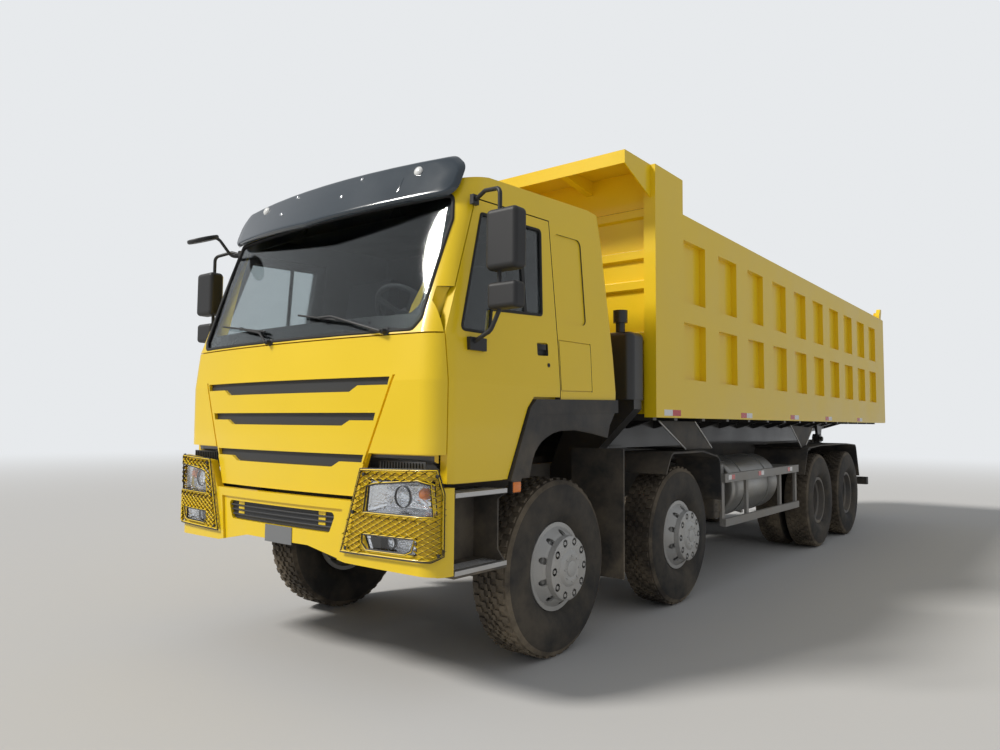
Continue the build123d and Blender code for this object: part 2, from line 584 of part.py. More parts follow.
guards = []
front_flap_y = AXLE_1_Y + 700
mid_flap_y = AXLE_1_Y + 2470
for s in (-1, 1):
    flap = box(s * 790, s * 1225, front_flap_y - 8, front_flap_y + 8, 380, 1290)
    flap += box(s * RAIL_X, s * 800, front_flap_y - 20, front_flap_y + 20, 960, 1010)
    guards.append(flap)
    top = arch([(STEERED_Y[1] - 420, 1080), (STEERED_Y[1] - 320, 1240), (STEERED_Y[1] + 300, 1240),
                (STEERED_Y[1] + 660, 1180), (STEERED_Y[1] + 690, 800)], s * 800, s * 1225)
    top += box(s * RAIL_X, s * 801, STEERED_Y[1] - 30, STEERED_Y[1] + 30, 1200, 1236)
    top += box(s * RAIL_X, s * (RAIL_X + 30), STEERED_Y[1] - 30, STEERED_Y[1] + 30, 1060, 1236)
    guards.append(top)
    hood = arch([(DRIVEN_Y[0] - 640, 900), (DRIVEN_Y[0] - 480, 1200), (DRIVEN_Y[0] + 60, 1226), (DRIVEN_Y[1] - 60, 1226),
                 (DRIVEN_Y[1] + 480, 1200), (DRIVEN_Y[1] + 650, 760)], s * 600, s * 1225)
    for y in (DRIVEN_Y[0], DRIVEN_Y[1]):
        hood += box(s * RAIL_X, s * 640, y - 30, y + 30, 1180, 1222)
    guards.append(hood)
save("mudguards", guards)

# Cab. Every curved wall of the cab is a slice of the same block, taken at a depth below its skin
def plan_face(half_width, front, rear, inset):
    w, f, r = half_width - inset, front + inset, rear - inset
    nose = ThreePointArc((-w, f + CAB_BOW), (0, f), (w, f + CAB_BOW))
    sides = Polyline((w, f + CAB_BOW), (w, r), (-w, r), (-w, f + CAB_BOW))
    face = make_face(nose + sides)
    corners = [v for v in face.vertices() if v.Y < (f + r) / 2]
    face = fillet(corners, max(CAB_CORNER_R - inset, 20))
    backs = [v for v in face.vertices() if v.Y > r - 1]
    return fillet(backs, max(70 - inset, 10))


@cache
def cab_block(inset):
    """The cab's outer form, inset all round."""
    faces = []
    for z, half_width, front, rear in CAB_SECTIONS:
        faces.append(Plane.XY.offset(z) * plan_face(half_width, AXLE_1_Y + front, AXLE_1_Y + rear, inset))
    body = loft(faces, ruled=True)
    i = inset
    top = along_x([(AXLE_1_Y - 1500, 900), (AXLE_1_Y - 1500, ROOF_FRONT_Z - 40 - i), (AXLE_1_Y - 990, ROOF_FRONT_Z - 40 - i),
                   (AXLE_1_Y - 700, ROOF_FRONT_Z + 20 - i), (AXLE_1_Y + 400, ROOF_REAR_Z - i),
                   (AXLE_1_Y + 800, ROOF_REAR_Z - 30 - i), (AXLE_1_Y + 800, 900)], -1400, 1400)
    return body & top


ARCH_LINE = ((-628, CAB_BOTTOM), (-440, 1560), (-380, 1612), (800, 1640))      # (behind axle 1, height)
arch_points = [(AXLE_1_Y + y, z) for y, z in ARCH_LINE]


def underside(raise_by, back_by):
    points = [(AXLE_1_Y - 1500, CAB_BOTTOM + raise_by)]
    points += [(y - back_by, z + raise_by) for y, z in arch_points]
    points[1] = (points[1][0], CAB_BOTTOM + raise_by)
    points += [(AXLE_1_Y + 900, 3200), (AXLE_1_Y - 1500, 3200)]
    return along_x(points, -1400, 1400)


LID_T = 36
LID_TOP = 1936
LID_SEAM_Y = AXLE_1_Y - 1140
LID_BOTTOM = 1300
V_BOTTOM = (650, 1062)
skin = cab_block(0)
behind_lid = cab_block(LID_T + CLEAR + 4)
lid_zone = box(-1400, 1400, AXLE_1_Y - 1500, LID_SEAM_Y + CLEAR, 900, LID_TOP + CAB_GAP)
tunnel = box(-TUNNEL_X, TUNNEL_X, AXLE_1_Y - 1500, AXLE_1_Y + 900, 900, TUNNEL_TOP)
tunnel_wall = box(-TUNNEL_X - 30, TUNNEL_X + 30, AXLE_1_Y - 1500, AXLE_1_Y + 900, 900, TUNNEL_TOP + 30)
outer = (skin & underside(0, 0)) - (lid_zone - behind_lid)
outer -= tunnel
TOE_R = 136                    # the bumper's top passes inside this radius round the cab's hinge
TOE_WALL = 30
TOE_X = 600
hinge_y, hinge_z = CAB_HINGE_Y, CAB_HINGE_Z
room = cab_block(CAB_WALL) & underside(45, 30)
toes = {}
for s in (-1, 1):
    toes[s] = rod((s * TOE_X, hinge_y, hinge_z), (s * 1400, hinge_y, hinge_z), TOE_R)
    outer -= toes[s]
    room -= rod((s * (TOE_X - TOE_WALL), hinge_y, hinge_z), (s * 1400, hinge_y, hinge_z), TOE_R + TOE_WALL)
FIREWALL_Y = AXLE_1_Y - 1160
room -= box(-1400, 1400, AXLE_1_Y - 1500, FIREWALL_Y, 900, LID_TOP + 45)
room -= tunnel_wall
shell = outer - room

DOOR_FRONT = -1134
DOOR_HINGE_X, DOOR_HINGE_BEHIND = 1210, -1137
# What the door's inner front edge sweeps: from height, to height, radius
DOOR_SWEEPS = ((1000, 2200, 96), (1980, 2200, 120))
DOOR_REAR = -110
DOOR_LINE = (
    (DOOR_FRONT, CAB_BOTTOM + 8), (-640, CAB_BOTTOM + 8), (-452, 1560), (-388, 1626), (DOOR_REAR, 1632),
    (DOOR_REAR - 6, 2765), (-835, 2735), (DOOR_FRONT, 1950),
)
DOOR_OPENING = (
    (DOOR_FRONT - CAB_GAP, CAB_BOTTOM - 60), (-628, CAB_BOTTOM - 60), (-430, 1550), (-370, 1560), (DOOR_REAR + CAB_GAP, 1560),
    (DOOR_REAR - 6 + CAB_GAP, 2765 + CAB_GAP), (-838, 2735 + CAB_GAP), (DOOR_FRONT - CAB_GAP, 1950),
)
WINDOW_LINE = ((-1030, 1968), (-800, 2660), (-215, 2685), (-265, 2135), (-760, 2108), (-790, 1968))


def side_prism(line, x0, x1, grow=0, radius=0):
    points = [(AXLE_1_Y + y, z) for y, z in line]
    face = face_of(points, radius)
    if grow:
        face = offset(face, amount=grow, kind=Kind.INTERSECTION)
    plane = Plane(origin=(min(x0, x1), 0, 0), x_dir=(0, 1, 0), z_dir=(1, 0, 0))
    return extrude(plane * face, amount=abs(x1 - x0))


shield_line = [(-1010, 1962), (1010, 1962), (1052, 2020), (1072, 2600), (1040, 2752), (-1040, 2752), (-1072, 2600),
               (-1052, 2020)]
SHIELD = along_y(shield_line, AXLE_1_Y - 1400, AXLE_1_Y - 700, radius=40)
shell -= SHIELD
skin_inner = cab_block(CAB_WALL + SEAT_GAP)
jamb_layer = cab_block(CAB_WALL - 1) - cab_block(CAB_WALL + 20)
jamb_behind = skin_inner - cab_block(CAB_WALL + 20)
for s in (-1, 1):
    opening = side_prism(DOOR_OPENING, s * 900, s * 1400)
    shell -= opening - skin_inner
    inside = side_prism(DOOR_LINE, s * 900, s * 1400, grow=-26)
    around = side_prism(DOOR_LINE, s * 900, s * 1400, grow=CAB_GAP + 22)
    ring_outer = (jamb_layer & around) - opening
    ring_inner = (jamb_behind & side_prism(DOOR_LINE, s * 900, s * 1400, grow=CAB_GAP)) - inside
    shell += ((ring_outer + ring_inner) & underside(0, 0)) - toes[s]
    for z0, z1, radius in DOOR_SWEEPS:
        swept = Pos(s * DOOR_HINGE_X, AXLE_1_Y + DOOR_HINGE_BEHIND, (z0 + z1) / 2) * Cylinder(radius, z1 - z0)
        shell -= swept & box(s * 900, s * 1400, AXLE_1_Y + DOOR_FRONT - CAB_GAP, AXLE_1_Y - 900, z0, z1)
for s in (-1, 1):
    for x, z in ((960, 1400), (960, 1860), (300, 1860)):
        pad = box(s * x - 25, s * x + 25, AXLE_1_Y - 1400, AXLE_1_Y - 1180, z - 25, z + 25)
        shell += pad & (cab_block(LID_T + SEAT_GAP) - cab_block(LID_T + CLEAR + 8))
SIDE_PANEL = ((-66, 2700), (-48, 2110), (252, 2124), (262, 2714))
SIDE_HATCH = ((-92, 1992), (-92, 1676), (272, 1684), (282, 1996))
SIDE_PANEL_DEPTH = 10
SEAM_W, SEAM_DEPTH = 6, 9
panel_layer = cab_block(-5) - cab_block(SIDE_PANEL_DEPTH)
seam_layer = cab_block(-5) - cab_block(SEAM_DEPTH)
for s in (-1, 1):
    shell -= side_prism(SIDE_PANEL, s * 900, s * 1400, radius=45) & panel_layer
    seam = side_prism(SIDE_HATCH, s * 900, s * 1400, grow=SEAM_W)
    seam -= side_prism(SIDE_HATCH, s * 900, s * 1400)
    shell -= seam & seam_layer
pane = cab_block(8) - cab_block(14)
GLASS_GAP = 0.3
shield_inner = along_y([(x * 0.9995, 2357 + (z - 2357) * 0.999) for x, z in shield_line], AXLE_1_Y - 1400,
                       AXLE_1_Y - 700, radius=40)
shield = pane & shield_inner
save("windshield", shield)

doors = {}
door_wall = skin - cab_block(CAB_WALL)
DOOR = door_wall & side_prism(DOOR_LINE, 900, 1400)
DOOR -= side_prism(WINDOW_LINE, 900, 1400, radius=24)
DOOR_HANDLE = ((-338, 1878), (-338, 1958), (-222, 1964), (-222, 1884))
HANDLE_FLOOR_X = 1184
DOOR -= side_prism(DOOR_HANDLE, HANDLE_FLOOR_X, 1400, radius=12)
GLASS = pane & side_prism(WINDOW_LINE, 900, 1400, grow=-GLASS_GAP, radius=24)
for side, turn in (("left", lambda s: s), ("right", other_side)):
    save(f"door_{side}", turn(DOOR))
    save(f"door_glass_{side}", turn(GLASS))

# Lid over the front, hinged along its upper edge, with the three stepped slots of the grille
lid_outline = [(-1400, LID_TOP), (1400, LID_TOP), (1400, LID_BOTTOM), (742, LID_BOTTOM), V_BOTTOM,
               (-V_BOTTOM[0], V_BOTTOM[1]), (-742, LID_BOTTOM), (-1400, LID_BOTTOM)]
lid_depth = along_y(lid_outline, AXLE_1_Y - 1500, LID_SEAM_Y)
lid = (skin - cab_block(LID_T)) & lid_depth
SLOTS = ((1690, 892, 600, 44, 78), (1497, 797, 545, 42, 72), (1268, 716, 470, 42, 74))   # z, ends, step, thin, deep
grille = []
for z, ends, step_x, thin, deep in SLOTS:
    top = z + thin / 2
    outline = [(-ends, top), (ends, top), (ends - 12, top - thin), (step_x + 62, top - thin), (step_x, top - deep),
               (-step_x, top - deep), (-step_x - 62, top - thin), (-ends + 12, top - thin)]
    lid -= along_y(outline, AXLE_1_Y - 1500, AXLE_1_Y - 1100)
    bar_set = (cab_block(20) - cab_block(LID_T - 2)) & along_y(
        [(x * 0.9995, z - 10 + (h - z + 10) * 0.99) for x, h in outline], AXLE_1_Y - 1500, AXLE_1_Y - 1100)
    grille.append(bar_set)
for s in (-1, 1):
    groove = along_y([(s * 928, 1722), (s * 912, 1722), (s * 712, 1240), (s * 728, 1240)], AXLE_1_Y - 1500, AXLE_1_Y - 1100)
    lid -= groove & (cab_block(-5) - cab_block(14))
save("front_lid", lid)
save("grille", grille)

# Bumper: bowed plan, lamp pods at its ends, an opening in the middle
BUMPER_Z0, BUMPER_Z1 = 685, 1235


def bumper_plan(half_width, front, inset, bow, rear):
    w, f = half_width - inset, front + inset
    nose = ThreePointArc((-w, f + bow), (0, f), (w, f + bow))
    sides = Polyline((w, f + bow), (w, rear), (-w, rear), (-w, f + bow))
    face = make_face(nose + sides)
    corners = [v for v in face.vertices() if v.Y < rear - 10]
    return fillet(corners, max(130 - inset, 15))


@cache
def bumper_slice(inset):
    return extrude(Plane.XY.offset(BUMPER_Z0 - 20) * bumper_plan(1242, AXLE_1_Y - BUMPER_OVERHANG, inset, 90, AXLE_1_Y - 900),
                   amount=BUMPER_Z1 - BUMPER_Z0 + 60)


bumper_front = along_y([(-1300, BUMPER_Z1), (-762, BUMPER_Z1 - 30), (-664, 1040), (664, 1040), (762, BUMPER_Z1 - 30),
                        (1300, BUMPER_Z1), (1300, BUMPER_Z0), (620, BUMPER_Z0 + 20), (300, BUMPER_Z0 + 80),
                        (-300, BUMPER_Z0 + 80), (-620, BUMPER_Z0 + 20), (-1300, BUMPER_Z0)],
                       AXLE_1_Y - 1500, AXLE_1_Y - 1204)
side_plates = box(-1300, 1300, AXLE_1_Y - 1205, AXLE_1_Y - 1112, BUMPER_Z0, CAB_HINGE_Z - 8)
BUMPER_T = 45
bumper = (bumper_slice(0) - bumper_slice(BUMPER_T)) & (bumper_front + side_plates)
step_face = along_y([(-596, 990), (596, 990), (560, 700), (-560, 700)], AXLE_1_Y - 1500, AXLE_1_Y - 1100)
bumper -= step_face & (bumper_slice(-20) - bumper_slice(14))
bumper -= along_y([(-530, 965), (530, 965), (480, 850), (-480, 850)], AXLE_1_Y - 1500, AXLE_1_Y - 1100, radius=25)
for s in (-1, 1):
    bumper += box(s * (RAIL_X - 60), s * RAIL_X, AXLE_1_Y - 1290, RAIL_FRONT_Y, 880, 1000)
lens = bumper_slice(4)
LAMPS = (((790, 1165), (1205, 1170), (1215, 985), (770, 985)), ((760, 880), (1120, 880), (1120, 790), (800, 790)))
lamps = []
for outline in LAMPS:
    for s in (-1, 1):
        pocket = along_y([(s * x, z) for x, z in outline], AXLE_1_Y - 1500, AXLE_1_Y - 1190)
        bumper -= pocket & (bumper_slice(-20) - bumper_slice(BUMPER_T + 5))
        fit = offset(face_of([(s * x, z) for x, z in outline]), amount=-SEAT_GAP, kind=Kind.INTERSECTION)
        plane = Plane(origin=(0, AXLE_1_Y - 1190 - SEAT_GAP, 0), x_dir=(1, 0, 0), z_dir=(0, -1, 0))
        lamps.append((bumper_slice(6) - bumper_slice(40 - SEAT_GAP)) & extrude(plane * fit, amount=300))
for s in (-1, 1):
    lamps.append(box(s * 900, s * 1170, bar_y + 50.3, bar_y + 75, 600, 690))
save("bumper", bumper)
save("lamps", lamps)

# Sun visor over the windshield
def visor_band(z, half_width, front, bow, thick):
    outer_arc = ThreePointArc((-half_width, front + bow), (0, front), (half_width, front + bow))
    inner_arc = ThreePointArc((half_width, front + bow + thick), (0, front + thick), (-half_width, front + bow + thick))
    ends = Line(outer_arc @ 1, inner_arc @ 0) + Line(inner_arc @ 1, outer_arc @ 0)
    return Plane.XY.offset(z) * make_face(outer_arc + inner_arc + ends)


visor = loft([visor_band(2680, 1120, AXLE_1_Y - 1185, 190, 40), visor_band(3010, 1120, AXLE_1_Y - 1000, 130, 40)], ruled=True)
visor &= along_y([(-1088, 2740), (0, 2690), (1088, 2740), (1080, 2900), (880, 3008), (-880, 3008), (-1080, 2900)],
                 AXLE_1_Y - 1400, AXLE_1_Y - 700, radius=45)
# Arms from the cab to the visor: x, and where the arm ends inside the visor at its lower and upper edge
VISOR_ARMS = ((-700, -1030, -985), (0, -1095, -1040), (700, -1030, -985))
for x, low_y, high_y in VISOR_ARMS:
    arm = along_x([(AXLE_1_Y + low_y, 2800), (AXLE_1_Y + high_y, 2900), (AXLE_1_Y - 900, 2900), (AXLE_1_Y - 900, 2800)],
                  x - 20, x + 20)
    visor += arm - cab_block(-SEAT_GAP)
save("visor", visor)

# Arch liners under the cab's sides, over the first wheels
def beside(points, distance):
    """The same open (y, z) line, moved to its right by distance."""
    moved = []
    lines = []
    for (y0, z0), (y1, z1) in zip(points, points[1:]):
        run = hypot(y1 - y0, z1 - z0)
        ny, nz = (z1 - z0) / run * distance, -(y1 - y0) / run * distance
        lines.append(((y0 + ny, z0 + nz), (y1 + ny, z1 + nz)))
    moved.append(lines[0][0])
    for (a, b), (c, d) in zip(lines, lines[1:]):
        cross = (b[0] - a[0]) * (d[1] - c[1]) - (b[1] - a[1]) * (d[0] - c[0])
        t = ((c[0] - a[0]) * (d[1] - c[1]) - (c[1] - a[1]) * (d[0] - c[0])) / cross
        moved.append((a[0] + t * (b[0] - a[0]), a[1] + t * (b[1] - a[1])))
    moved.append(lines[-1][1])
    return moved


liners = []
arch_run = arch_points[:3] + [(AXLE_1_Y + 600, 1612 + 28 * 980 / 1180)]
for s in (-1, 1):
    flange = along_x(beside(arch_run, SEAT_GAP) + beside(arch_run, 90)[::-1], s * 1200, s * 1236)
    liner = along_x(beside(arch_run, SEAT_GAP) + beside(arch_run, 14)[::-1], s * 760, s * 1201)
    liners.append(flange + liner)
save("arch_liners", liners)

# Cab hinge arms at the front, round the pins on the frame
for s in (-1, 1):
    shell -= rod((s * 465, hinge_y, hinge_z), (s * 570, hinge_y, hinge_z), CAB_PIN_R + 8)
    arm = along_x([(hinge_y - 22, hinge_z - 22), (hinge_y + 22, hinge_z - 24), (hinge_y + 120, hinge_z + 30),
                   (hinge_y + 120, hinge_z + 80), (hinge_y + 60, hinge_z + 80), (hinge_y - 22, hinge_z + 22)],
                  s * 500, s * 540)
    arm -= rod((s * 480, hinge_y, hinge_z), (s * 560, hinge_y, hinge_z), CAB_PIN_R + BORE_GAP)
    shell += arm
save("cab_shell", shell)

# Dump body: floor with its two beams and cross bearers
bed_y0, bed_y1 = BED_FRONT_Y, BED_REAR_Y
HALF = WIDTH / 2
POCKET_REAR = bed_y0 + 290
POCKET_TOP = 2330
floor = box(-HALF + WALL_T, HALF - WALL_T, bed_y0 + 70, bed_y1, FLOOR_Z - PLATE_T, FLOOR_Z)
for s in (-1, 1):
    beam = along_x([(bed_y0 + 120, FLOOR_Z - PLATE_T), (bed_y1 - 60, FLOOR_Z - PLATE_T), (bed_y1 - 60, 1450),
                    (TIP_Y - 160, TIP_Z + 105), (TIP_Y - 260, SUBFRAME_TOP + SEAT_GAP),
                    (bed_y0 + 220, SUBFRAME_TOP + SEAT_GAP), (bed_y0 + 120, 1440)],
                   s * (BED_BEAM_X - BED_BEAM_W / 2 + 0), s * (BED_BEAM_X + BED_BEAM_W / 2))
    floor += beam
    cheek = rod((s * (RAIL_X + 55), TIP_Y, TIP_Z), (s * (RAIL_X + 110), TIP_Y, TIP_Z), 70)
    cheek += along_x([(TIP_Y - 160, FLOOR_Z - PLATE_T), (TIP_Y + 160, FLOOR_Z - PLATE_T), (TIP_Y + 60, TIP_Z - 30),
                      (TIP_Y - 60, TIP_Z - 30)], s * (RAIL_X + 55), s * (RAIL_X + 95))
    cheek -= rod((s * RAIL_X, TIP_Y, TIP_Z), (s * (RAIL_X + 200), TIP_Y, TIP_Z), TIP_PIN_R + BORE_GAP)
    floor += cheek
BEARER_STEP = 560
FIRST_BEARER = 500
POCKET_WALL = 12
count = int((bed_y1 - bed_y0 - 400) / BEARER_STEP)
for i in range(count + 1):
    y = bed_y0 + FIRST_BEARER + i * BEARER_STEP
    bearer = along_y([(-HALF + WALL_T, 1500), (HALF - WALL_T, 1500), (HALF - WALL_T, FLOOR_Z - PLATE_T),
                      (-HALF + WALL_T, FLOOR_Z - PLATE_T)], y - 30, y + 30)
    bearer += along_y([(-BED_BEAM_X - 300, 1501), (-BED_BEAM_X, 1410), (BED_BEAM_X, 1410), (BED_BEAM_X + 300, 1501)],
                      y - 30, y + 30)
    floor += bearer
floor += both_sides(box(POCKET_X + 40, HALF - WALL_T, bed_y0 + 90, bed_y0 + 150, 1500, FLOOR_Z - PLATE_T + 1))
pocket_out = POCKET_WALL + SEAT_GAP
floor -= box(-POCKET_X - pocket_out, POCKET_X + pocket_out, bed_y0, POCKET_REAR + pocket_out, 1400, FLOOR_Z + 5)
save("bed_floor", floor)

# Side walls: hollow pressed panels between rails, wing at the front, posts at both ends
sides = []
for s in (1,):
    profile = [(bed_y0, BED_BOTTOM), (bed_y1, BED_BOTTOM), (bed_y1, BED_TOP), (bed_y0 + BED_WING_LENGTH, BED_TOP),
               (bed_y0 + BED_WING_LENGTH, BED_WING_TOP), (bed_y0, BED_WING_TOP)]
    wall = along_x(profile, HALF - WALL_T, HALF)
    for i in range(PANEL_COLUMNS):
        y0 = PANEL_FIRST_Y + i * PANEL_PITCH
        for z0, z1 in PANEL_ROWS:
            wall -= box(HALF - PANEL_DEPTH, HALF + 5, y0, y0 + PANEL_WIDTH, z0, z1)
    wall += box(HALF - POST_W - 1, HALF, bed_y0, bed_y0 + 62 - SEAT_GAP, BED_BOTTOM, BED_WING_TOP)
    wall += along_x([(bed_y1 - 120, BED_TOP), (bed_y1, BED_TOP), (bed_y1 + 62, GATE_PIN_Z + 40),
                     (bed_y1 + 62, REAR_POST_TOP), (bed_y1 - 20, REAR_POST_TOP), (bed_y1 - 120, BED_TOP + 60)],
                    HALF - WALL_T, HALF - 20)
    gate_pin_y = bed_y1 + 46
    wall += rod((HALF - WALL_T + 1, gate_pin_y, GATE_PIN_Z), (HALF - WALL_T - 60, gate_pin_y, GATE_PIN_Z), 20)
    sides += both_sides(wall)
save("bed_sides", sides)

# Front wall with its ribs, and the canopy over the cab
inner = HALF - WALL_T - SEAT_GAP
front = box(-inner, inner, bed_y0 + 62, bed_y0 + 70 - SEAT_GAP, FLOOR_Z - PLATE_T, BED_WING_TOP)
for z in (1700, 2150, 2560, 2800, 3130):
    front += along_x([(bed_y0 + 63, z - 45), (bed_y0 + 30, z - 30), (bed_y0 + 30, z + 30), (bed_y0 + 63, z + 45)],
                     -(HALF - POST_W - 1.5), HALF - POST_W - 1.5)
canopy = box(-HALF + 40, HALF - 40, CANOPY_FRONT_Y, bed_y0 + 63, BED_WING_TOP - 12, BED_WING_TOP)
canopy -= box(-HALF, HALF, bed_y0 - SEAT_GAP, bed_y0 + 200, 3000, 4000)
canopy += box(-inner + 30, inner - 30, bed_y0 - 5, bed_y0 + 63, BED_WING_TOP - 12, BED_WING_TOP)
canopy += box(-HALF + 40, HALF - 40, CANOPY_FRONT_Y, CANOPY_FRONT_Y + 10, BED_WING_TOP - CANOPY_LIP, BED_WING_TOP)
for s in (-1, 1):
    canopy += along_x([(CANOPY_FRONT_Y, BED_WING_TOP - CANOPY_LIP), (bed_y0 - SEAT_GAP, BED_WING_TOP - 260),
                       (bed_y0 - SEAT_GAP, BED_WING_TOP), (CANOPY_FRONT_Y, BED_WING_TOP)], s * (HALF - 50), s * (HALF - 40))
    for x in (0, 620):
        gusset = along_x([(CANOPY_FRONT_Y + 60, BED_WING_TOP - 11), (CANOPY_FRONT_Y + 60, BED_WING_TOP - 70),
                          (bed_y0 + 63, BED_WING_TOP - 130), (bed_y0 + 63, BED_WING_TOP - 11)], s * x - 30, s * x + 30)
        canopy += gusset
front -= box(-POCKET_X, POCKET_X, bed_y0 + 20, bed_y0 + 100, FLOOR_Z - 60, POCKET_TOP)
housing = along_x([(bed_y0 + 61, FLOOR_Z - PLATE_T), (POCKET_REAR + POCKET_WALL, FLOOR_Z - PLATE_T),
                   (bed_y0 + 110, POCKET_TOP + POCKET_WALL), (bed_y0 + 61, POCKET_TOP + POCKET_WALL)],
                  -POCKET_X - POCKET_WALL, POCKET_X + POCKET_WALL)
housing -= along_x([(bed_y0, FLOOR_Z - 60), (POCKET_REAR, FLOOR_Z - 60), (POCKET_REAR, FLOOR_Z), (bed_y0 + 98, POCKET_TOP),
                    (bed_y0, POCKET_TOP)], -POCKET_X, POCKET_X)
for s in (-1, 1):
    ear = along_x([(bed_y0 + 66, HOIST_EYE_Z - 140), (bed_y0 + 66, HOIST_EYE_Z + 140), (HOIST_Y - 45, HOIST_EYE_Z + 45),
                   (HOIST_Y - 45, HOIST_EYE_Z - 45)], s * 62, s * 86)
    front += ear
save("bed_front", front + housing + canopy)

# Tailgate, hung from two pins at its top
gate_y0 = bed_y1 + GATE_GAP
gate = box(-HALF + 4, HALF - 4, gate_y0, gate_y0 + GATE_T, BED_BOTTOM + 6, BED_TOP - 2)
for i in range(4):
    x0 = -HALF + 110 + i * 580
    for z0, z1 in PANEL_ROWS:
        gate -= box(x0, x0 + 500, gate_y0 + 18, gate_y0 + GATE_T + 5, z0, z1)
for s in (-1, 1):
    arm = along_x([(gate_y0, BED_TOP - 60), (gate_y0 + 50, BED_TOP - 60), (gate_pin_y + 36, GATE_PIN_Z + 30),
                   (gate_pin_y - 36, GATE_PIN_Z + 30), (gate_y0, BED_TOP)], s * (HALF - WALL_T - 10), s * (HALF - WALL_T - 50))
    arm -= rod((0, gate_pin_y, GATE_PIN_Z), (s * HALF, gate_pin_y, GATE_PIN_Z), 20 + BORE_GAP)
    gate += arm
save("tailgate", gate)

# Hoist stages, nested at rest
foot = ring((-100, HOIST_Y, HOIST_FOOT_Z), (100, HOIST_Y, HOIST_FOOT_Z), 60, HOIST_PIN_R + BORE_GAP)
tube_z0, tube_z1 = HOIST_FOOT_Z + 50, HOIST_EYE_Z - 165
for i, r in enumerate(HOIST_RADII):
    z0, z1 = tube_z0 + 26 * i, tube_z1 + 31 * i
    body = rod((0, HOIST_Y, z0), (0, HOIST_Y, z1), r)
    if i + 1 < len(HOIST_RADII):
        body -= rod((0, HOIST_Y, z0 + 25.7), (0, HOIST_Y, z1 + 1), HOIST_RADII[i + 1] + BORE_GAP)
        name = f"hoist_stage_{i}" if i else "hoist_barrel"
        if i == 0:
            body += foot
        save(name, body)
    else:
        body += ring((-55, HOIST_Y, HOIST_EYE_Z), (55, HOIST_Y, HOIST_EYE_Z), 52, HOIST_PIN_R + 2)
        body -= rod((-55, HOIST_Y, HOIST_EYE_Z), (55, HOIST_Y, HOIST_EYE_Z), HOIST_PIN_R + 2)
        save("hoist_rod", body)

# Mirrors on the doors: two heads on a bent tube
ARM_R = 12
mirror_y = AXLE_1_Y - 950
arm = bent_tube([(1150, AXLE_1_Y - 870, 2715), (1250, AXLE_1_Y - 900, 2745), (1395, mirror_y, 2720), (1395, mirror_y, 2060),
                 (1340, mirror_y, 1960), (1214, AXLE_1_Y - 950, 1900)], [40, 40, 30, 60], ARM_R)
heads = fillet(box(1340, 1545, mirror_y - 60, mirror_y + 50, 2270, 2595).edges(), 28)
heads += fillet(box(1345, 1540, mirror_y - 50, mirror_y + 45, 2065, 2205).edges(), 24)
foot_block = box(1206, 1232, AXLE_1_Y - 990, AXLE_1_Y - 850, 1860, 1930) - cab_block(-SEAT_GAP)
foot_block += box(1140, 1165, AXLE_1_Y - 900, AXLE_1_Y - 850, 2690, 2745) - cab_block(-SEAT_GAP)
for side, turn in (("left", lambda s: s), ("right", other_side)):
    save(f"mirrors_{side}", turn((arm + heads + foot_block) - cab_block(-SEAT_GAP)))

# Wide-angle mirror on a bow at the right end of the visor
bow = bent_tube([(-1060, AXLE_1_Y - 880, 2690), (-1150, AXLE_1_Y - 960, 2690), (-1180, AXLE_1_Y - 1060, 2820),
                 (-1240, AXLE_1_Y - 1140, 2800)], [50, 60], 11)
dome = Pos(-1240, AXLE_1_Y - 1140, 2795) * Rot(X=20) * Cylinder(112, 30)
dome = fillet(dome.edges(), 12)
save("front_mirror", (bow + dome) - cab_block(-SEAT_GAP))

# Cab interior: seats and bunk, dashboard with the steering wheel
seats = []
for x in (-560, 560):
    base = box(x - 180, x + 180, AXLE_1_Y - 620, AXLE_1_Y - 250, TUNNEL_TOP + 30 + SEAT_GAP, 1790)
    cushion = fillet(box(x - 245, x + 245, AXLE_1_Y - 690, AXLE_1_Y - 210, 1789, 1900).edges(), 35)
    back = along_x([(AXLE_1_Y - 250, 1860), (AXLE_1_Y - 130, 1860), (AXLE_1_Y - 20, 2560), (AXLE_1_Y - 110, 2560)], x - 235, x + 235)
    back = fillet(back.edges().filter_by(Axis.X), 25)
    seats.append(base + cushion + back)
BUNK_REAR = 520
arch_rise = (ARCH_LINE[3][1] - ARCH_LINE[2][1]) / (ARCH_LINE[3][0] - ARCH_LINE[2][0])
bunk_z = ARCH_LINE[2][1] + arch_rise * (BUNK_REAR - ARCH_LINE[2][0]) + 45 + SEAT_GAP
bunk = fillet(box(-1040, 1040, AXLE_1_Y + 60, AXLE_1_Y + BUNK_REAR, bunk_z, 1900).edges(), 30)
seats.append(bunk)
save("seats", seats)
dash = along_x([(FIREWALL_Y + SEAT_GAP, 1690), (FIREWALL_Y + SEAT_GAP, 1925), (AXLE_1_Y - 1050, 1960), (AXLE_1_Y - 860, 1930),
                (AXLE_1_Y - 830, 1820), (AXLE_1_Y - 900, 1690)], -1060, 1060) & cab_block(CAB_WALL + 20 + SEAT_GAP)
column_x = 560
wheel_c = (column_x, AXLE_1_Y - 800, 2110)
tilt = Pos(*wheel_c) * Rot(X=-50)
dash += tilt * Pos(0, 0, -140) * Cylinder(32, 300)
steer = tilt * (Torus(225, 15) + Cylinder(60, 34))
for k in range(4):
    steer += tilt * Rot(Z=45 + 90 * k) * Pos(115, 0, 0) * Box(210, 34, 14)
save("dashboard", dash + steer)

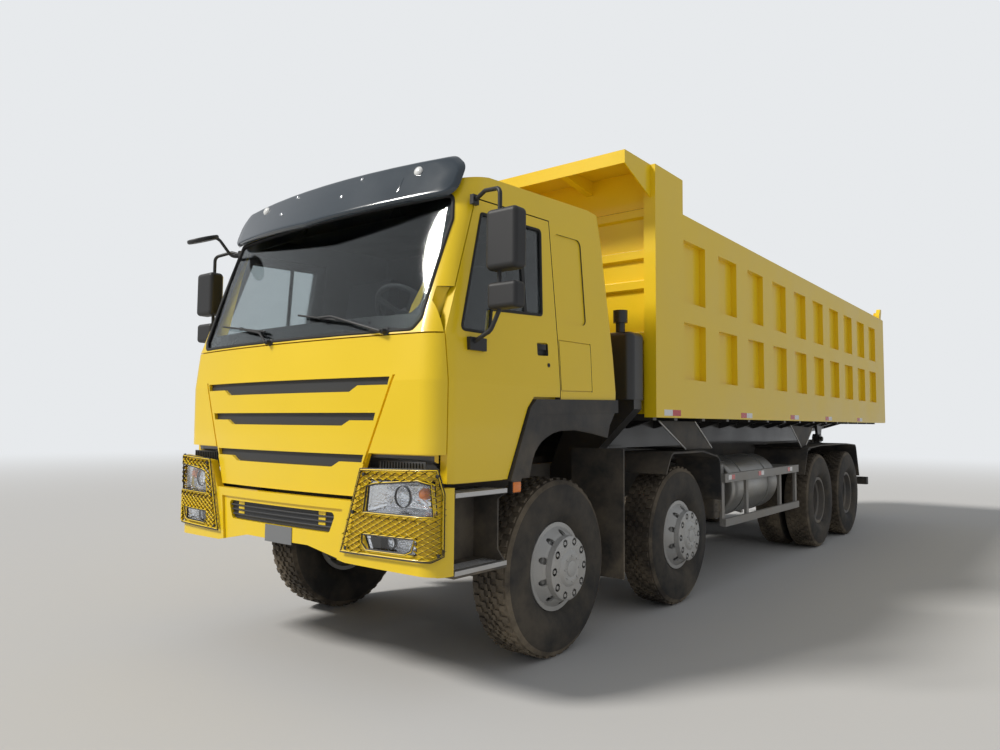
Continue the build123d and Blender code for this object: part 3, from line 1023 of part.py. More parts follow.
# Wire guards over the lamps: a frame that carries a diamond lattice
guards = []
GUARD_OUT = 16
cage = bumper_slice(-GUARD_OUT - 9) - bumper_slice(-GUARD_OUT)
outline = [(748, 1212), (1215, 1228), (1236, 1100), (1236, 800), (1190, 772), (615, 772)]
cage_face = along_y(outline, AXLE_1_Y - 1500, AXLE_1_Y - 1200)
rim_inner = along_y([(x * 0.97 + 28, 990 + (z - 990) * 0.94) for x, z in outline], AXLE_1_Y - 1500, AXLE_1_Y - 1100)
guard = (cage & cage_face) - rim_inner
band = (cage & cage_face)
bars = None
for k in range(-7, 15):
    for lean in (-1, 1):
        x = 560 + k * 90
        bar = along_y([(x, 700), (x + 10, 700), (x + 10 + lean * 560, 1260), (x + lean * 560, 1260)],
                      AXLE_1_Y - 1500, AXLE_1_Y - 1200)
        bars = bar if bars is None else bars + bar
guard += band & bars
for x, z in ((770, 1198), (1180, 1213), (650, 786), (1160, 786)):
    guard += (along_y([(x - 12, z - 12), (x + 12, z - 12), (x + 12, z + 12), (x - 12, z + 12)], AXLE_1_Y - 1500, AXLE_1_Y - 1200)
              & (bumper_slice(-GUARD_OUT - 2) - bumper_slice(-SEAT_GAP)))
save("lamp_guards", both_sides(guard))
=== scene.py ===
"""Looks of a four-axle cab-over dump truck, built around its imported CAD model.

Metres. The truck's front faces -Y, its left side is +X, up is +Z.
"""
from contextlib import contextmanager
from math import asin, atan2, cos, hypot, pi, radians, sin, sqrt, tan

import bpy
from bpy.props import FloatProperty, FloatVectorProperty, IntProperty, PointerProperty
from mathutils import Matrix, Vector


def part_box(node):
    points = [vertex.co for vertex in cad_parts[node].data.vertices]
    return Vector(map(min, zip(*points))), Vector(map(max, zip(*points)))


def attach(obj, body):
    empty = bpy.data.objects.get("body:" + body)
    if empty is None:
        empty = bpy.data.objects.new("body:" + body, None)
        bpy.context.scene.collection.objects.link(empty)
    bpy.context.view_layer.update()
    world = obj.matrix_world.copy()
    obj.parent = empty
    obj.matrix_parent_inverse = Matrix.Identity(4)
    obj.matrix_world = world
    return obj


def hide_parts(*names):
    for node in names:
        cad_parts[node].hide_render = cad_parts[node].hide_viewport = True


bl_info = {
    "name": "Dump truck looks",
    "version": (1, 0, 0),
    "blender": (4, 5, 0),
    "location": "View3D > Sidebar > Truck",
    "description": "Materials and detailed pieces for a four-axle dump truck",
    "category": "Object",
}

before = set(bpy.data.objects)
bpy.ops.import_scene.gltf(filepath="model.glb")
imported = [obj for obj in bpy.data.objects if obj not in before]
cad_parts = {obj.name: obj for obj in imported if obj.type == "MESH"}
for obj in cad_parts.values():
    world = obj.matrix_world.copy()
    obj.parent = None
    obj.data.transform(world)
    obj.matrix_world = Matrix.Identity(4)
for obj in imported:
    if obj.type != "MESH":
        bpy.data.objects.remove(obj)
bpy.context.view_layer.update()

LEFT, RIGHT = 1, -1
SIDES = (("left", LEFT), ("right", RIGHT))

# Places taken from the CAD
TYRE_LOW, TYRE_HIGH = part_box("tyre_1_left")
AXLE_1 = (TYRE_LOW.y + TYRE_HIGH.y) / 2
AXLES = [AXLE_1 + back for back in (0.0, 1.8, 5.625, 6.975)]
WHEEL_Z = (TYRE_LOW.z + TYRE_HIGH.z) / 2
TYRE_RADIUS = (TYRE_HIGH.z - TYRE_LOW.z) / 2
TYRE_WIDTH = TYRE_HIGH.x - TYRE_LOW.x
FRONT_TRACK = 1.011
REAR_INNER, REAR_OUTER = 0.7425, 1.0875
DISH = 0.1725
STUD_CIRCLE = 0.1675
STUDS = 10

# The cab's skin: height, half width, front on the centre line. Places in y count back from the first axle
CAB_SKIN = (
    (1.00, 1.216, -1.305), (1.69, 1.222, -1.305), (1.94, 1.205, -1.284), (2.76, 1.130, -1.012),
    (3.02, 1.095, -0.925),
)
CAB_BOW = 0.095
CAB_CORNER = 0.150
BUMPER_HALF, BUMPER_FRONT, BUMPER_BOW, BUMPER_CORNER = 1.242, -1.330, 0.090, 0.130
# The visor's skin: height, front on the centre line, bow
VISOR_LOW, VISOR_HIGH = (2.68, -1.185, 0.19), (3.01, -1.000, 0.13)
VISOR_HALF = 1.12
BED_HALF = 1.248
BED_FLOOR_LOW = 1.549
GUARD_FACE = 1.200

MERGE_DISTANCE = 0.00002


# Tools for modelling

def at(x, y, z):
    """A place whose y counts back from the first axle."""
    return x, AXLE_1 + y, z


def nothing_selected():
    if bpy.context.object and bpy.context.object.mode != "OBJECT":
        bpy.ops.object.mode_set(mode="OBJECT")
    bpy.ops.object.select_all(action="DESELECT")


def only(piece):
    nothing_selected()
    piece.select_set(True)
    bpy.context.view_layer.objects.active = piece


@contextmanager
def editing(piece, chosen=None):
    """Edit mode with all of a piece selected, or the faces that chosen() picks."""
    only(piece)
    bpy.ops.object.mode_set(mode="EDIT")
    if chosen:
        bpy.ops.mesh.select_mode(type="FACE")
        bpy.ops.mesh.select_all(action="DESELECT")
        bpy.ops.object.mode_set(mode="OBJECT")
        for face in piece.data.polygons:
            face.select = chosen(face)
        bpy.ops.object.mode_set(mode="EDIT")
    else:
        bpy.ops.mesh.select_all(action="SELECT")
    yield
    bpy.ops.object.mode_set(mode="OBJECT")


def place_in_mesh(piece):
    """The object goes to the origin, unturned and unscaled, and its mesh keeps the place."""
    only(piece)
    bpy.ops.object.transform_apply(location=True, rotation=True, scale=True)
    return piece


def started(name):
    piece = bpy.context.object
    piece.name = name
    piece.data.name = name
    return piece


def modify(piece, kind, **settings):
    only(piece)
    modifier = piece.modifiers.new(kind.title(), kind)
    for key, value in settings.items():
        setattr(modifier, key, value)
    bpy.ops.object.modifier_apply(modifier=modifier.name)
    return piece


def smooth(piece, angle=35):
    only(piece)
    bpy.ops.object.shade_smooth_by_angle(angle=radians(angle))
    return piece


def outward(piece):
    with editing(piece):
        bpy.ops.mesh.remove_doubles(threshold=MERGE_DISTANCE)
        bpy.ops.mesh.normals_make_consistent(inside=False)
    return piece


def block(name, low, high, edge=0.004, rounds=2):
    """Bar or box with rounded edges."""
    nothing_selected()
    centre = [(a + b) / 2 for a, b in zip(low, high)]
    bpy.ops.mesh.primitive_cube_add(size=1, location=centre)
    piece = started(name)
    piece.scale = [abs(b - a) for a, b in zip(low, high)]
    place_in_mesh(piece)
    modify(piece, "BEVEL", width=edge, segments=rounds, limit_method="ANGLE")
    return smooth(piece)


def chain(name, points, closed=False):
    """Line of edges drawn by extruding one vertex from point to point."""
    nothing_selected()
    bpy.ops.mesh.primitive_plane_add(size=1, location=(0, 0, 0))
    piece = started(name)
    bpy.ops.object.mode_set(mode="EDIT")
    bpy.ops.mesh.select_mode(type="VERT")
    bpy.ops.mesh.select_all(action="DESELECT")
    bpy.ops.object.mode_set(mode="OBJECT")
    for vertex in piece.data.vertices:
        vertex.select = vertex.index > 0
    bpy.ops.object.mode_set(mode="EDIT")
    bpy.ops.mesh.delete(type="VERT")
    bpy.ops.object.mode_set(mode="OBJECT")
    piece.data.vertices[0].co = points[0]
    with editing(piece):
        for before, after in zip(points, points[1:]):
            step = Vector(after) - Vector(before)
            bpy.ops.mesh.extrude_region_move(TRANSFORM_OT_translate={"value": step})
        if closed:
            bpy.ops.mesh.select_all(action="SELECT")
            bpy.ops.mesh.edge_face_add()
    return piece


def lathe(name, profile, centre, steps=48, along=(1, 0, 0), closed=False):
    """Profile of (distance along, radius) points spun about an axis through centre."""
    along = Vector(along).normalized()
    out = along.orthogonal().normalized() if abs(along.z) > 0.9 else Vector((0, 0, 1))
    out = (out - along * out.dot(along)).normalized()
    points = [Vector(centre) + along * reach + out * radius for reach, radius in profile]
    if closed:
        points.append(points[0])
    piece = chain(name, points)
    with editing(piece):
        bpy.ops.mesh.spin(steps=steps, angle=2 * pi, center=centre, axis=along)
    return smooth(outward(piece))


def plate(name, outline, direction, depth, edge=0.0):
    """Flat outline of 3-D points, pushed out along direction by depth."""
    piece = chain(name, outline, closed=True)
    with editing(piece):
        bpy.ops.mesh.extrude_region_move(TRANSFORM_OT_translate={"value": Vector(direction) * depth})
    outward(piece)
    if edge:
        modify(piece, "BEVEL", width=edge, segments=2, limit_method="ANGLE")
    return smooth(piece)


def tube(name, points, radius, closed=False, sides=2):
    """Round bar or seal along points."""
    nothing_selected()
    bpy.ops.curve.primitive_bezier_curve_add(location=(0, 0, 0))
    piece = started(name)
    spline = piece.data.splines[0]
    spline.bezier_points.add(len(points) - 2)
    for knot, point in zip(spline.bezier_points, points):
        knot.co = point
        knot.handle_left_type = knot.handle_right_type = "VECTOR"
    spline.use_cyclic_u = closed
    piece.data.bevel_depth = radius
    piece.data.bevel_resolution = sides
    piece.data.resolution_u = 1
    piece.data.use_fill_caps = not closed
    only(piece)
    bpy.ops.object.convert(target="MESH")
    return smooth(outward(bpy.context.object))


def bent_sheet(name, columns, rows, to_surface, thickness=0.0, kept=None):
    """Grid over (0..1, 0..1), cut back to the cells that kept() allows and laid on a surface."""
    nothing_selected()
    bpy.ops.mesh.primitive_grid_add(x_subdivisions=columns, y_subdivisions=rows, size=1,
                                    location=(0.5, 0.5, 0))
    piece = place_in_mesh(started(name))
    if kept:
        with editing(piece, lambda cell: not kept(cell.center.x, cell.center.y)):
            bpy.ops.mesh.delete(type="FACE")
    for vertex in piece.data.vertices:
        vertex.co = to_surface(vertex.co.x, vertex.co.y)
    outward(piece)
    if thickness:
        modify(piece, "SOLIDIFY", thickness=thickness, offset=0)
    return smooth(outward(piece))


def rounded(line, radius, bend=4, between=6):
    """Outline of 2-D points with arcs for corners and points added on the straight runs."""
    arcs = []
    for before, corner, after in zip(line[-1:] + line[:-1], line, line[1:] + line[:1]):
        corner = Vector(corner)
        back, ahead = Vector(before) - corner, Vector(after) - corner
        reach = min(radius / tan(back.angle(ahead) / 2), back.length * 0.45, ahead.length * 0.45)
        start, end = corner + back.normalized() * reach, corner + ahead.normalized() * reach
        steps = [k / bend for k in range(bend + 1)]
        arcs.append([start * (1 - t) ** 2 + corner * 2 * t * (1 - t) + end * t ** 2 for t in steps])
    points = []
    for arc, following in zip(arcs, arcs[1:] + arcs[:1]):
        run = following[0] - arc[-1]
        points += arc + [arc[-1] + run * k / between for k in range(1, between)]
    return points


def band(name, outer, inner, to_surface, thickness=0.0, rows=2):
    """Strip between two outlines with as many points each, or from an outline to one middle point."""
    count = len(outer)
    if len(inner) == 1:
        inner = inner * count

    def place(u, v):
        index = round(u * count) % count
        spot = Vector(outer[index]).lerp(Vector(inner[index]), v)
        return to_surface(spot.x, spot.y, v)

    return bent_sheet(name, count, rows, place, thickness)


def middle(line):
    return [(sum(p[0] for p in line) / len(line), sum(p[1] for p in line) / len(line))]


def cut_by(piece, cutter):
    modify(piece, "BOOLEAN", object=cutter, operation="DIFFERENCE", solver="EXACT")
    bpy.data.objects.remove(cutter)
    return smooth(piece)


def joined(name, pieces):
    nothing_selected()
    for piece in pieces:
        piece.select_set(True)
    bpy.context.view_layer.objects.active = pieces[0]
    if len(pieces) > 1:
        bpy.ops.object.join()
    return started(name)


def mirror(piece):
    """Mirror a mesh across the truck's middle, with its faces still pointing outwards."""
    piece.data.transform(Matrix.Scale(-1, 4, (1, 0, 0)))
    with editing(piece):
        bpy.ops.mesh.flip_normals()
    return piece


def copied(piece, name, move=(0, 0, 0), mirrored=False, turn=None):
    """A copy with its own mesh; turn is (angle, centre) about an axis along X."""
    only(piece)
    bpy.ops.object.duplicate(linked=False)
    twin = started(name)
    if mirrored:
        mirror(twin)
    if turn:
        angle, centre = turn
        twin.data.transform(Matrix.Translation(centre) @ Matrix.Rotation(angle, 4, "X")
                            @ Matrix.Translation(-centre))
    twin.data.transform(Matrix.Translation(move))
    return twin


def paired(name, parts):
    """The parts and their mirror images as one piece."""
    piece = joined(name, parts)
    return joined(name, [piece, copied(piece, "twin", mirrored=True)])


def dress(piece, material, body, slot, *replaced):
    piece.data.materials.clear()
    piece.data.materials.append(MATERIALS[material])
    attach(piece, body)
    if replaced:
        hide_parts(*replaced)
    return piece


def dress_both(piece, material, body, slot, *replaced):
    """Left and right copies, dressed, in place of a left piece; {} in body is the side's name."""
    for word, side in SIDES:
        twin = copied(piece, f"{piece.name}_{word}", mirrored=side == RIGHT)
        dress(twin, material, body.format(word), slot, *replaced)
    bpy.data.objects.remove(piece)


# Shape of the skins of the cab, bumper and visor

def plan_of(half, front, bow, corner):
    """Radius and centre of a bowed front, and the centre of its rounded corner."""
    radius = (half ** 2 + bow ** 2) / (2 * bow)
    corner_x = half - corner
    corner_y = front + radius - sqrt((radius - corner) ** 2 - corner_x ** 2)
    return radius, front + radius, corner_x, corner_y


def front_y(half, front, bow, corner, x):
    radius, centre_y, corner_x, corner_y = plan_of(half, front, bow, corner)
    if abs(x) * (radius - corner) < radius * corner_x:
        return centre_y - sqrt(radius ** 2 - x ** 2)
    return corner_y - sqrt(max(corner ** 2 - (abs(x) - corner_x) ** 2, 0))


def side_x(half, front, bow, corner, y):
    corner_x, corner_y = plan_of(half, front, bow, corner)[2:]
    if y >= corner_y:
        return half
    return corner_x + sqrt(max(corner ** 2 - (corner_y - y) ** 2, 0))


def cab_plan(z, out):
    low, high = CAB_SKIN[0], CAB_SKIN[1]
    for below, above in zip(CAB_SKIN, CAB_SKIN[1:]):
        if z >= below[0]:
            low, high = below, above
    t = (z - low[0]) / (high[0] - low[0])
    half, front = (a + t * (b - a) for a, b in zip(low[1:], high[1:]))
    return half + out, front - out, CAB_BOW, CAB_CORNER + out


def cab_front(x, z, out=0.0):
    return Vector(at(x, front_y(*cab_plan(z, out), x), z))


def cab_side(y, z, out=0.0):
    return Vector(at(side_x(*cab_plan(z, out), y), y, z))


def bumper_plan(out):
    return BUMPER_HALF + out, BUMPER_FRONT - out, BUMPER_BOW, BUMPER_CORNER + out


def bumper_front(x, z, out=0.0):
    return Vector(at(x, front_y(*bumper_plan(out), x), z))


def bumper_run(run, z, out=0.0):
    """Point of the bumper's skin at a distance along it from the centre line."""
    half, front, bow, corner = bumper_plan(out)
    radius, centre_y, corner_x, corner_y = plan_of(half, front, bow, corner)
    swing = asin(corner_x / (radius - corner))
    angle = run / radius
    if angle <= swing:
        return Vector(at(radius * sin(angle), centre_y - radius * cos(angle), z))
    angle = min(swing + (run - radius * swing) / corner, pi / 2)
    past = max(run - radius * swing - corner * (pi / 2 - swing), 0)
    return Vector(at(corner_x + corner * sin(angle), corner_y - corner * cos(angle) + past, z))


def visor_front(x, z, out=0.0):
    t = (z - VISOR_LOW[0]) / (VISOR_HIGH[0] - VISOR_LOW[0])
    front, bow = (a + t * (b - a) for a, b in zip(VISOR_LOW[1:], VISOR_HIGH[1:]))
    radius, centre_y = plan_of(VISOR_HALF, front, bow, 0)[:2]
    return Vector(at(x, centre_y - sqrt(radius ** 2 - x ** 2) - out, z))


# Shader node groups

def group(name, inputs, outputs):
    tree = bpy.data.node_groups.new(name, "ShaderNodeTree")
    for label, kind, default in inputs:
        socket = tree.interface.new_socket(name=label, in_out="INPUT", socket_type=kind)
        socket.default_value = default
    for label, kind in outputs:
        tree.interface.new_socket(name=label, in_out="OUTPUT", socket_type=kind)
    return tree, tree.nodes.new("NodeGroupInput"), tree.nodes.new("NodeGroupOutput")


def node(tree, kind, links=None, **settings):
    made = tree.nodes.new(kind)
    for key, value in settings.items():
        setattr(made, key, value)
    for key, value in (links or {}).items():
        if isinstance(value, bpy.types.NodeSocket):
            tree.links.new(value, made.inputs[key])
        else:
            made.inputs[key].default_value = value
    return made


def place_of(tree):
    return node(tree, "ShaderNodeTexCoord").outputs["Object"]


def maths(tree, operation, *values, clamp=False):
    return node(tree, "ShaderNodeMath", dict(enumerate(values)), operation=operation,
                use_clamp=clamp).outputs[0]


def ranged(tree, value, low, high, to_low=0.0, to_high=1.0, way="LINEAR"):
    """A value's place between low and high, brought between to_low and to_high."""
    links = {"Value": value, "From Min": low, "From Max": high, "To Min": to_low, "To Max": to_high}
    return node(tree, "ShaderNodeMapRange", links, interpolation_type=way).outputs["Result"]


def noise(tree, place, scale, detail, roughness=0.5):
    links = {"Vector": place, "Scale": scale, "Detail": detail, "Roughness": roughness}
    return node(tree, "ShaderNodeTexNoise", links).outputs["Fac"]


def laid_over(tree, given, out, mask, other):
    """The group puts out its colour with the other one over it where the mask says, and the mask."""
    mix = node(tree, "ShaderNodeMix", {"Factor": mask, "A": given.outputs["Colour"],
                                       "B": given.outputs[other]}, data_type="RGBA")
    tree.links.new(mix.outputs["Result"], out.inputs["Colour"])
    tree.links.new(mask, out.inputs["Mask"])
    return tree


FLOAT, COLOUR, VECTOR = "NodeSocketFloat", "NodeSocketColor", "NodeSocketVector"
COLOUR_AND_MASK = (("Colour", COLOUR), ("Mask", FLOAT))


def dust_group():
    """Dust that settles below a height, in patches."""
    tree, given, out = group("Settled dust", (
        ("Colour", COLOUR, (0.8, 0.8, 0.8, 1)), ("Dust", COLOUR, (0.36, 0.29, 0.2, 1)),
        ("Amount", FLOAT, 0.5), ("Low", FLOAT, 0.4), ("High", FLOAT, 1.6), ("Scale", FLOAT, 3.0)),
        COLOUR_AND_MASK)
    place = place_of(tree)
    height = node(tree, "ShaderNodeSeparateXYZ", {"Vector": place}).outputs["Z"]
    fall = ranged(tree, height, given.outputs["High"], given.outputs["Low"], 0.04, 1.0)
    cloud = noise(tree, place, given.outputs["Scale"], 8.0, 0.65)
    both = maths(tree, "MULTIPLY", fall, ranged(tree, cloud, 0.38, 0.66))
    mask = maths(tree, "MULTIPLY", both, given.outputs["Amount"], clamp=True)
    return laid_over(tree, given, out, mask, "Dust")


def grain_group():
    """Fine unevenness of a moulded, cast or sprayed surface, with its shade and its height."""
    tree, given, out = group("Surface grain", (
        ("Colour", COLOUR, (0.5, 0.5, 0.5, 1)), ("Scale", FLOAT, 200.0), ("Shade", FLOAT, 0.15)),
        (("Colour", COLOUR), ("Height", FLOAT), ("Rough", FLOAT)))
    place = place_of(tree)
    fine = noise(tree, place, given.outputs["Scale"], 3.0)
    broad = noise(tree, place, 2.2, 5.0)
    level = maths(tree, "SUBTRACT", broad, 0.5)
    shade = maths(tree, "MULTIPLY_ADD", level, given.outputs["Shade"], 1.0)
    tint = node(tree, "ShaderNodeHueSaturation", {"Color": given.outputs["Colour"], "Value": shade})
    tree.links.new(tint.outputs["Color"], out.inputs["Colour"])
    tree.links.new(fine, out.inputs["Height"])
    tree.links.new(broad, out.inputs["Rough"])
    return tree


def chip_group():
    """Small worn spots."""
    tree, given, out = group("Worn spots", (
        ("Colour", COLOUR, (0.5, 0.5, 0.5, 1)), ("Under", COLOUR, (0.2, 0.19, 0.18, 1)),
        ("Amount", FLOAT, 0.3), ("Scale", FLOAT, 18.0)), COLOUR_AND_MASK)
    spots = noise(tree, place_of(tree), given.outputs["Scale"], 6.0, 0.7)
    mask = maths(tree, "MULTIPLY", ranged(tree, spots, 0.69, 0.73), given.outputs["Amount"], clamp=True)
    return laid_over(tree, given, out, mask, "Under")


def two_tone_group():
    """Darker colour on faces that look at a centre, and below a height within a half width."""
    tree, given, out = group("Darker faces", (
        ("Colour", COLOUR, (0.5, 0.5, 0.5, 1)), ("Other", COLOUR, (0.03, 0.03, 0.03, 1)),
        ("Centre", VECTOR, (0, 0, 0)), ("Height", FLOAT, 0.0), ("Half width", FLOAT, 10.0)),
        COLOUR_AND_MASK)
    texture = node(tree, "ShaderNodeTexCoord")
    away = node(tree, "ShaderNodeVectorMath", {0: texture.outputs["Object"], 1: given.outputs["Centre"]},
                operation="SUBTRACT")
    facing = node(tree, "ShaderNodeVectorMath", {0: texture.outputs["Normal"], 1: away.outputs["Vector"]},
                  operation="DOT_PRODUCT")
    inner = maths(tree, "LESS_THAN", facing.outputs["Value"], -0.02)
    place = node(tree, "ShaderNodeSeparateXYZ", {"Vector": texture.outputs["Object"]})
    below = maths(tree, "LESS_THAN", place.outputs["Z"], given.outputs["Height"])
    across = maths(tree, "ABSOLUTE", place.outputs["X"])
    within = maths(tree, "LESS_THAN", across, given.outputs["Half width"])
    low = maths(tree, "MULTIPLY", below, within)
    return laid_over(tree, given, out, maths(tree, "MAXIMUM", inner, low), "Other")


GROUPS = {}
MATERIALS = {}
DUST_ROUGHNESS = 0.9
COAT_ROUGHNESS = 0.08
GLASS_IOR = 1.45


def use_group(tree, key, **values):
    """A node group placed in a material, with its own values; _ stands for a space."""
    used = node(tree, "ShaderNodeGroup", node_tree=GROUPS[key])
    for label, value in values.items():
        used.inputs[label.replace("_", " ")].default_value = value
    return used


def new_material(name):
    material = bpy.data.materials.new(name)
    material.use_nodes = True
    return material, material.node_tree, material.node_tree.nodes["Principled BSDF"]


def surface(name, colour, rough=0.5, metal=0.0, coat=0.0, grain=200.0, bump=0.02, shade=0.12, dust=0.0,
            dust_low=0.3, dust_high=1.6, chips=0.0, spread=0.12, depth=0.001, dark_tone=None):
    """A finish with grain, worn spots and settled dust; dark_tone is a darker tone's
    colour, centre, height and half width, painted shade where the dump body and lamp guards use it."""
    material, tree, shader = new_material(name)
    ground = use_group(tree, "grain", Colour=(*colour, 1), Scale=grain, Shade=shade)
    layers = []
    if dark_tone:
        other, centre, height, half_width = dark_tone
        layers.append(use_group(tree, "two_tone", Other=(*other, 1), Centre=centre, Height=height,
                                Half_width=half_width))
    if chips:
        layers.append(use_group(tree, "chips", Amount=chips))
    rough_level = ranged(tree, ground.outputs["Rough"], 0.3, 0.7, max(rough - spread / 2, 0.02),
                         min(rough + spread / 2, 1.0))
    if dust:
        settled = use_group(tree, "dust", Amount=dust, Low=dust_low, High=dust_high)
        layers.append(settled)
        dusty = node(tree, "ShaderNodeMix", {"Factor": settled.outputs["Mask"], "A": rough_level,
                                             "B": DUST_ROUGHNESS})
        rough_level = dusty.outputs["Result"]
    tint = ground.outputs["Colour"]
    for layer in layers:
        tree.links.new(tint, layer.inputs["Colour"])
        tint = layer.outputs["Colour"]
    relief = node(tree, "ShaderNodeBump", {"Height": ground.outputs["Height"], "Strength": bump,
                                           "Distance": depth})
    tree.links.new(tint, shader.inputs["Base Color"])
    tree.links.new(rough_level, shader.inputs["Roughness"])
    tree.links.new(relief.outputs["Normal"], shader.inputs["Normal"])
    shader.inputs["Metallic"].default_value = metal
    shader.inputs["Coat Weight"].default_value = coat
    shader.inputs["Coat Roughness"].default_value = COAT_ROUGHNESS
    MATERIALS[name] = material


def glass(name, colour):
    """See-through pane, with faint smears in its roughness."""
    material, tree, shader = new_material(name)
    ground = use_group(tree, "grain", Colour=(*colour, 1), Shade=0.05)
    smear = ranged(tree, ground.outputs["Rough"], 0.35, 0.7, 0.0, 0.05)
    tree.links.new(ground.outputs["Colour"], shader.inputs["Base Color"])
    tree.links.new(smear, shader.inputs["Roughness"])
    shader.inputs["Transmission Weight"].default_value = 1.0
    shader.inputs["IOR"].default_value = GLASS_IOR
    MATERIALS[name] = material


# What a user would change

class TruckColours(bpy.types.PropertyGroup):
    """Paint and plastic colours"""
    body: FloatVectorProperty(name="Body paint", description="Paint of cab, bumper and dump body", size=3,
                              subtype="COLOR", min=0, max=1, default=(0.87, 0.60, 0.005))
    visor: FloatVectorProperty(name="Visor", description="Gloss of the sun visor", size=3, subtype="COLOR",
                               min=0, max=1, default=(0.018, 0.030, 0.042))
    chassis: FloatVectorProperty(name="Chassis paint", description="Frame, axles and brackets", size=3,
                                 subtype="COLOR", min=0, max=1, default=(0.045, 0.043, 0.040))
    wheel: FloatVectorProperty(name="Front wheels", description="Paint of the steered wheels", size=3,
                               subtype="COLOR", min=0, max=1, default=(0.50, 0.50, 0.49))
    rear_wheel: FloatVectorProperty(name="Rear wheels", description="Paint of the driven wheels", size=3,
                                    subtype="COLOR", min=0, max=1, default=(0.16, 0.155, 0.15))
    dust: FloatProperty(name="Dust", description="How much dust lies on the lower parts", min=0, max=1,
                        default=0.5, subtype="FACTOR")


class TyreSizes(bpy.types.PropertyGroup):
    """Tread of the tyres"""
    blocks: IntProperty(name="Blocks", description="Tread blocks round a tyre", min=24, max=80, default=46)
    depth: FloatProperty(name="Tread depth", description="Depth of the tread grooves", min=0.004, max=0.03,
                         default=0.014, unit="LENGTH", subtype="DISTANCE")


class GuardSizes(bpy.types.PropertyGroup):
    """Mesh guards over the lamps"""
    long_way: FloatProperty(name="Long way", description="Length of one mesh opening", min=0.02, max=0.1,
                            default=0.058, unit="LENGTH", subtype="DISTANCE")
    short_way: FloatProperty(name="Short way", description="Height of one mesh opening", min=0.01, max=0.05,
                             default=0.030, unit="LENGTH", subtype="DISTANCE")
    strand: FloatProperty(name="Strand", description="Width of a strand", min=0.002, max=0.015,
                          default=0.0065, unit="LENGTH", subtype="DISTANCE")


class StageSizes(bpy.types.PropertyGroup):
    """Floor, lamps and camera"""
    floor: FloatProperty(name="Floor radius", description="Radius of the floor", min=10, max=200, default=90,
                         unit="LENGTH", subtype="DISTANCE")
    lens: FloatProperty(name="Lens", description="Focal length of the camera", min=10, max=200, default=26.54,
                        unit="CAMERA")
    sun: FloatProperty(name="Sun", description="Strength of the key lamp", min=0, max=10, default=2.75)


# The stage

BACKDROP = (0.80, 0.82, 0.84, 1)
FLOOR_GREY = (0.56, 0.555, 0.545, 1)
FLOOR_FADE = (9.0, 34.0)
SKY_LIGHT = {"Color": (0.93, 0.96, 1.0, 1), "Strength": 0.44}
SUN_PLACE, SUN_WAY = (-8, -12, 14), (0.50, 0.72, -0.80)
SUN_COLOUR, SUN_SPREAD = (1.0, 0.97, 0.92), 12
CAMERA_PLACE = (3.797, -7.995, 1.467)
# The camera's turn in degrees: to the side, up, over
CAMERA_TURN = (-38.4, 3.74, 0.48)


def add_floor(radius):
    """Round floor that fades into the backdrop."""
    nothing_selected()
    bpy.ops.mesh.primitive_circle_add(vertices=96, radius=radius, fill_type="NGON", location=(0, 0, 0))
    floor = started("stage_floor")
    with editing(floor):
        bpy.ops.mesh.inset(thickness=radius * 0.7)
    material, tree, shader = new_material("stage_floor")
    shader.inputs["Base Color"].default_value = FLOOR_GREY
    shader.inputs["Roughness"].default_value = 0.9
    shader.inputs["Specular IOR Level"].default_value = 0.1
    reach = node(tree, "ShaderNodeVectorMath", {0: place_of(tree)}, operation="LENGTH").outputs["Value"]
    far = node(tree, "ShaderNodeEmission", {"Color": BACKDROP, "Strength": 1.0})
    mix = node(tree, "ShaderNodeMixShader", {0: ranged(tree, reach, *FLOOR_FADE, way="SMOOTHSTEP"),
                                             1: shader.outputs["BSDF"], 2: far.outputs["Emission"]})
    tree.links.new(mix.outputs["Shader"], tree.nodes["Material Output"].inputs["Surface"])
    floor.data.materials.append(material)


def add_sky(scene):
    """Soft light from all round, behind which the camera sees the backdrop."""
    world = bpy.data.worlds.new("stage_world")
    scene.world = world
    world.use_nodes = True
    tree = world.node_tree
    tree.nodes.clear()
    rays = node(tree, "ShaderNodeLightPath").outputs
    seen = maths(tree, "MAXIMUM", rays["Is Camera Ray"], rays["Is Transmission Ray"])
    light = node(tree, "ShaderNodeBackground", SKY_LIGHT)
    shown = node(tree, "ShaderNodeBackground", {"Color": BACKDROP, "Strength": 1.0})
    mix = node(tree, "ShaderNodeMixShader", {0: seen, 1: light.outputs["Background"],
                                             2: shown.outputs["Background"]})
    node(tree, "ShaderNodeOutputWorld", {"Surface": mix.outputs["Shader"]})


def add_sun(strength):
    nothing_selected()
    bpy.ops.object.light_add(type="SUN", location=SUN_PLACE)
    sun = bpy.context.object
    sun.name = "key_lamp"
    sun.data.energy = strength
    sun.data.angle = radians(SUN_SPREAD)
    sun.data.color = SUN_COLOUR
    sun.rotation_euler = Vector(SUN_WAY).to_track_quat("-Z", "Y").to_euler()


def add_camera(scene, lens):
    yaw, pitch, roll = (radians(angle) for angle in CAMERA_TURN)
    ahead = Vector((sin(yaw) * cos(pitch), cos(yaw) * cos(pitch), sin(pitch)))
    across = Vector((cos(yaw), -sin(yaw), 0))
    above = across.cross(ahead)
    right = across * cos(roll) + above * sin(roll)
    up = above * cos(roll) - across * sin(roll)
    turn = Matrix((right, up, -ahead)).transposed()
    bpy.ops.object.camera_add(location=CAMERA_PLACE, rotation=turn.to_euler())
    camera = bpy.context.object
    camera.name = "photo_camera"
    camera.data.lens = lens
    camera.data.sensor_width = 36
    camera.data.clip_end = 500
    scene.camera = camera


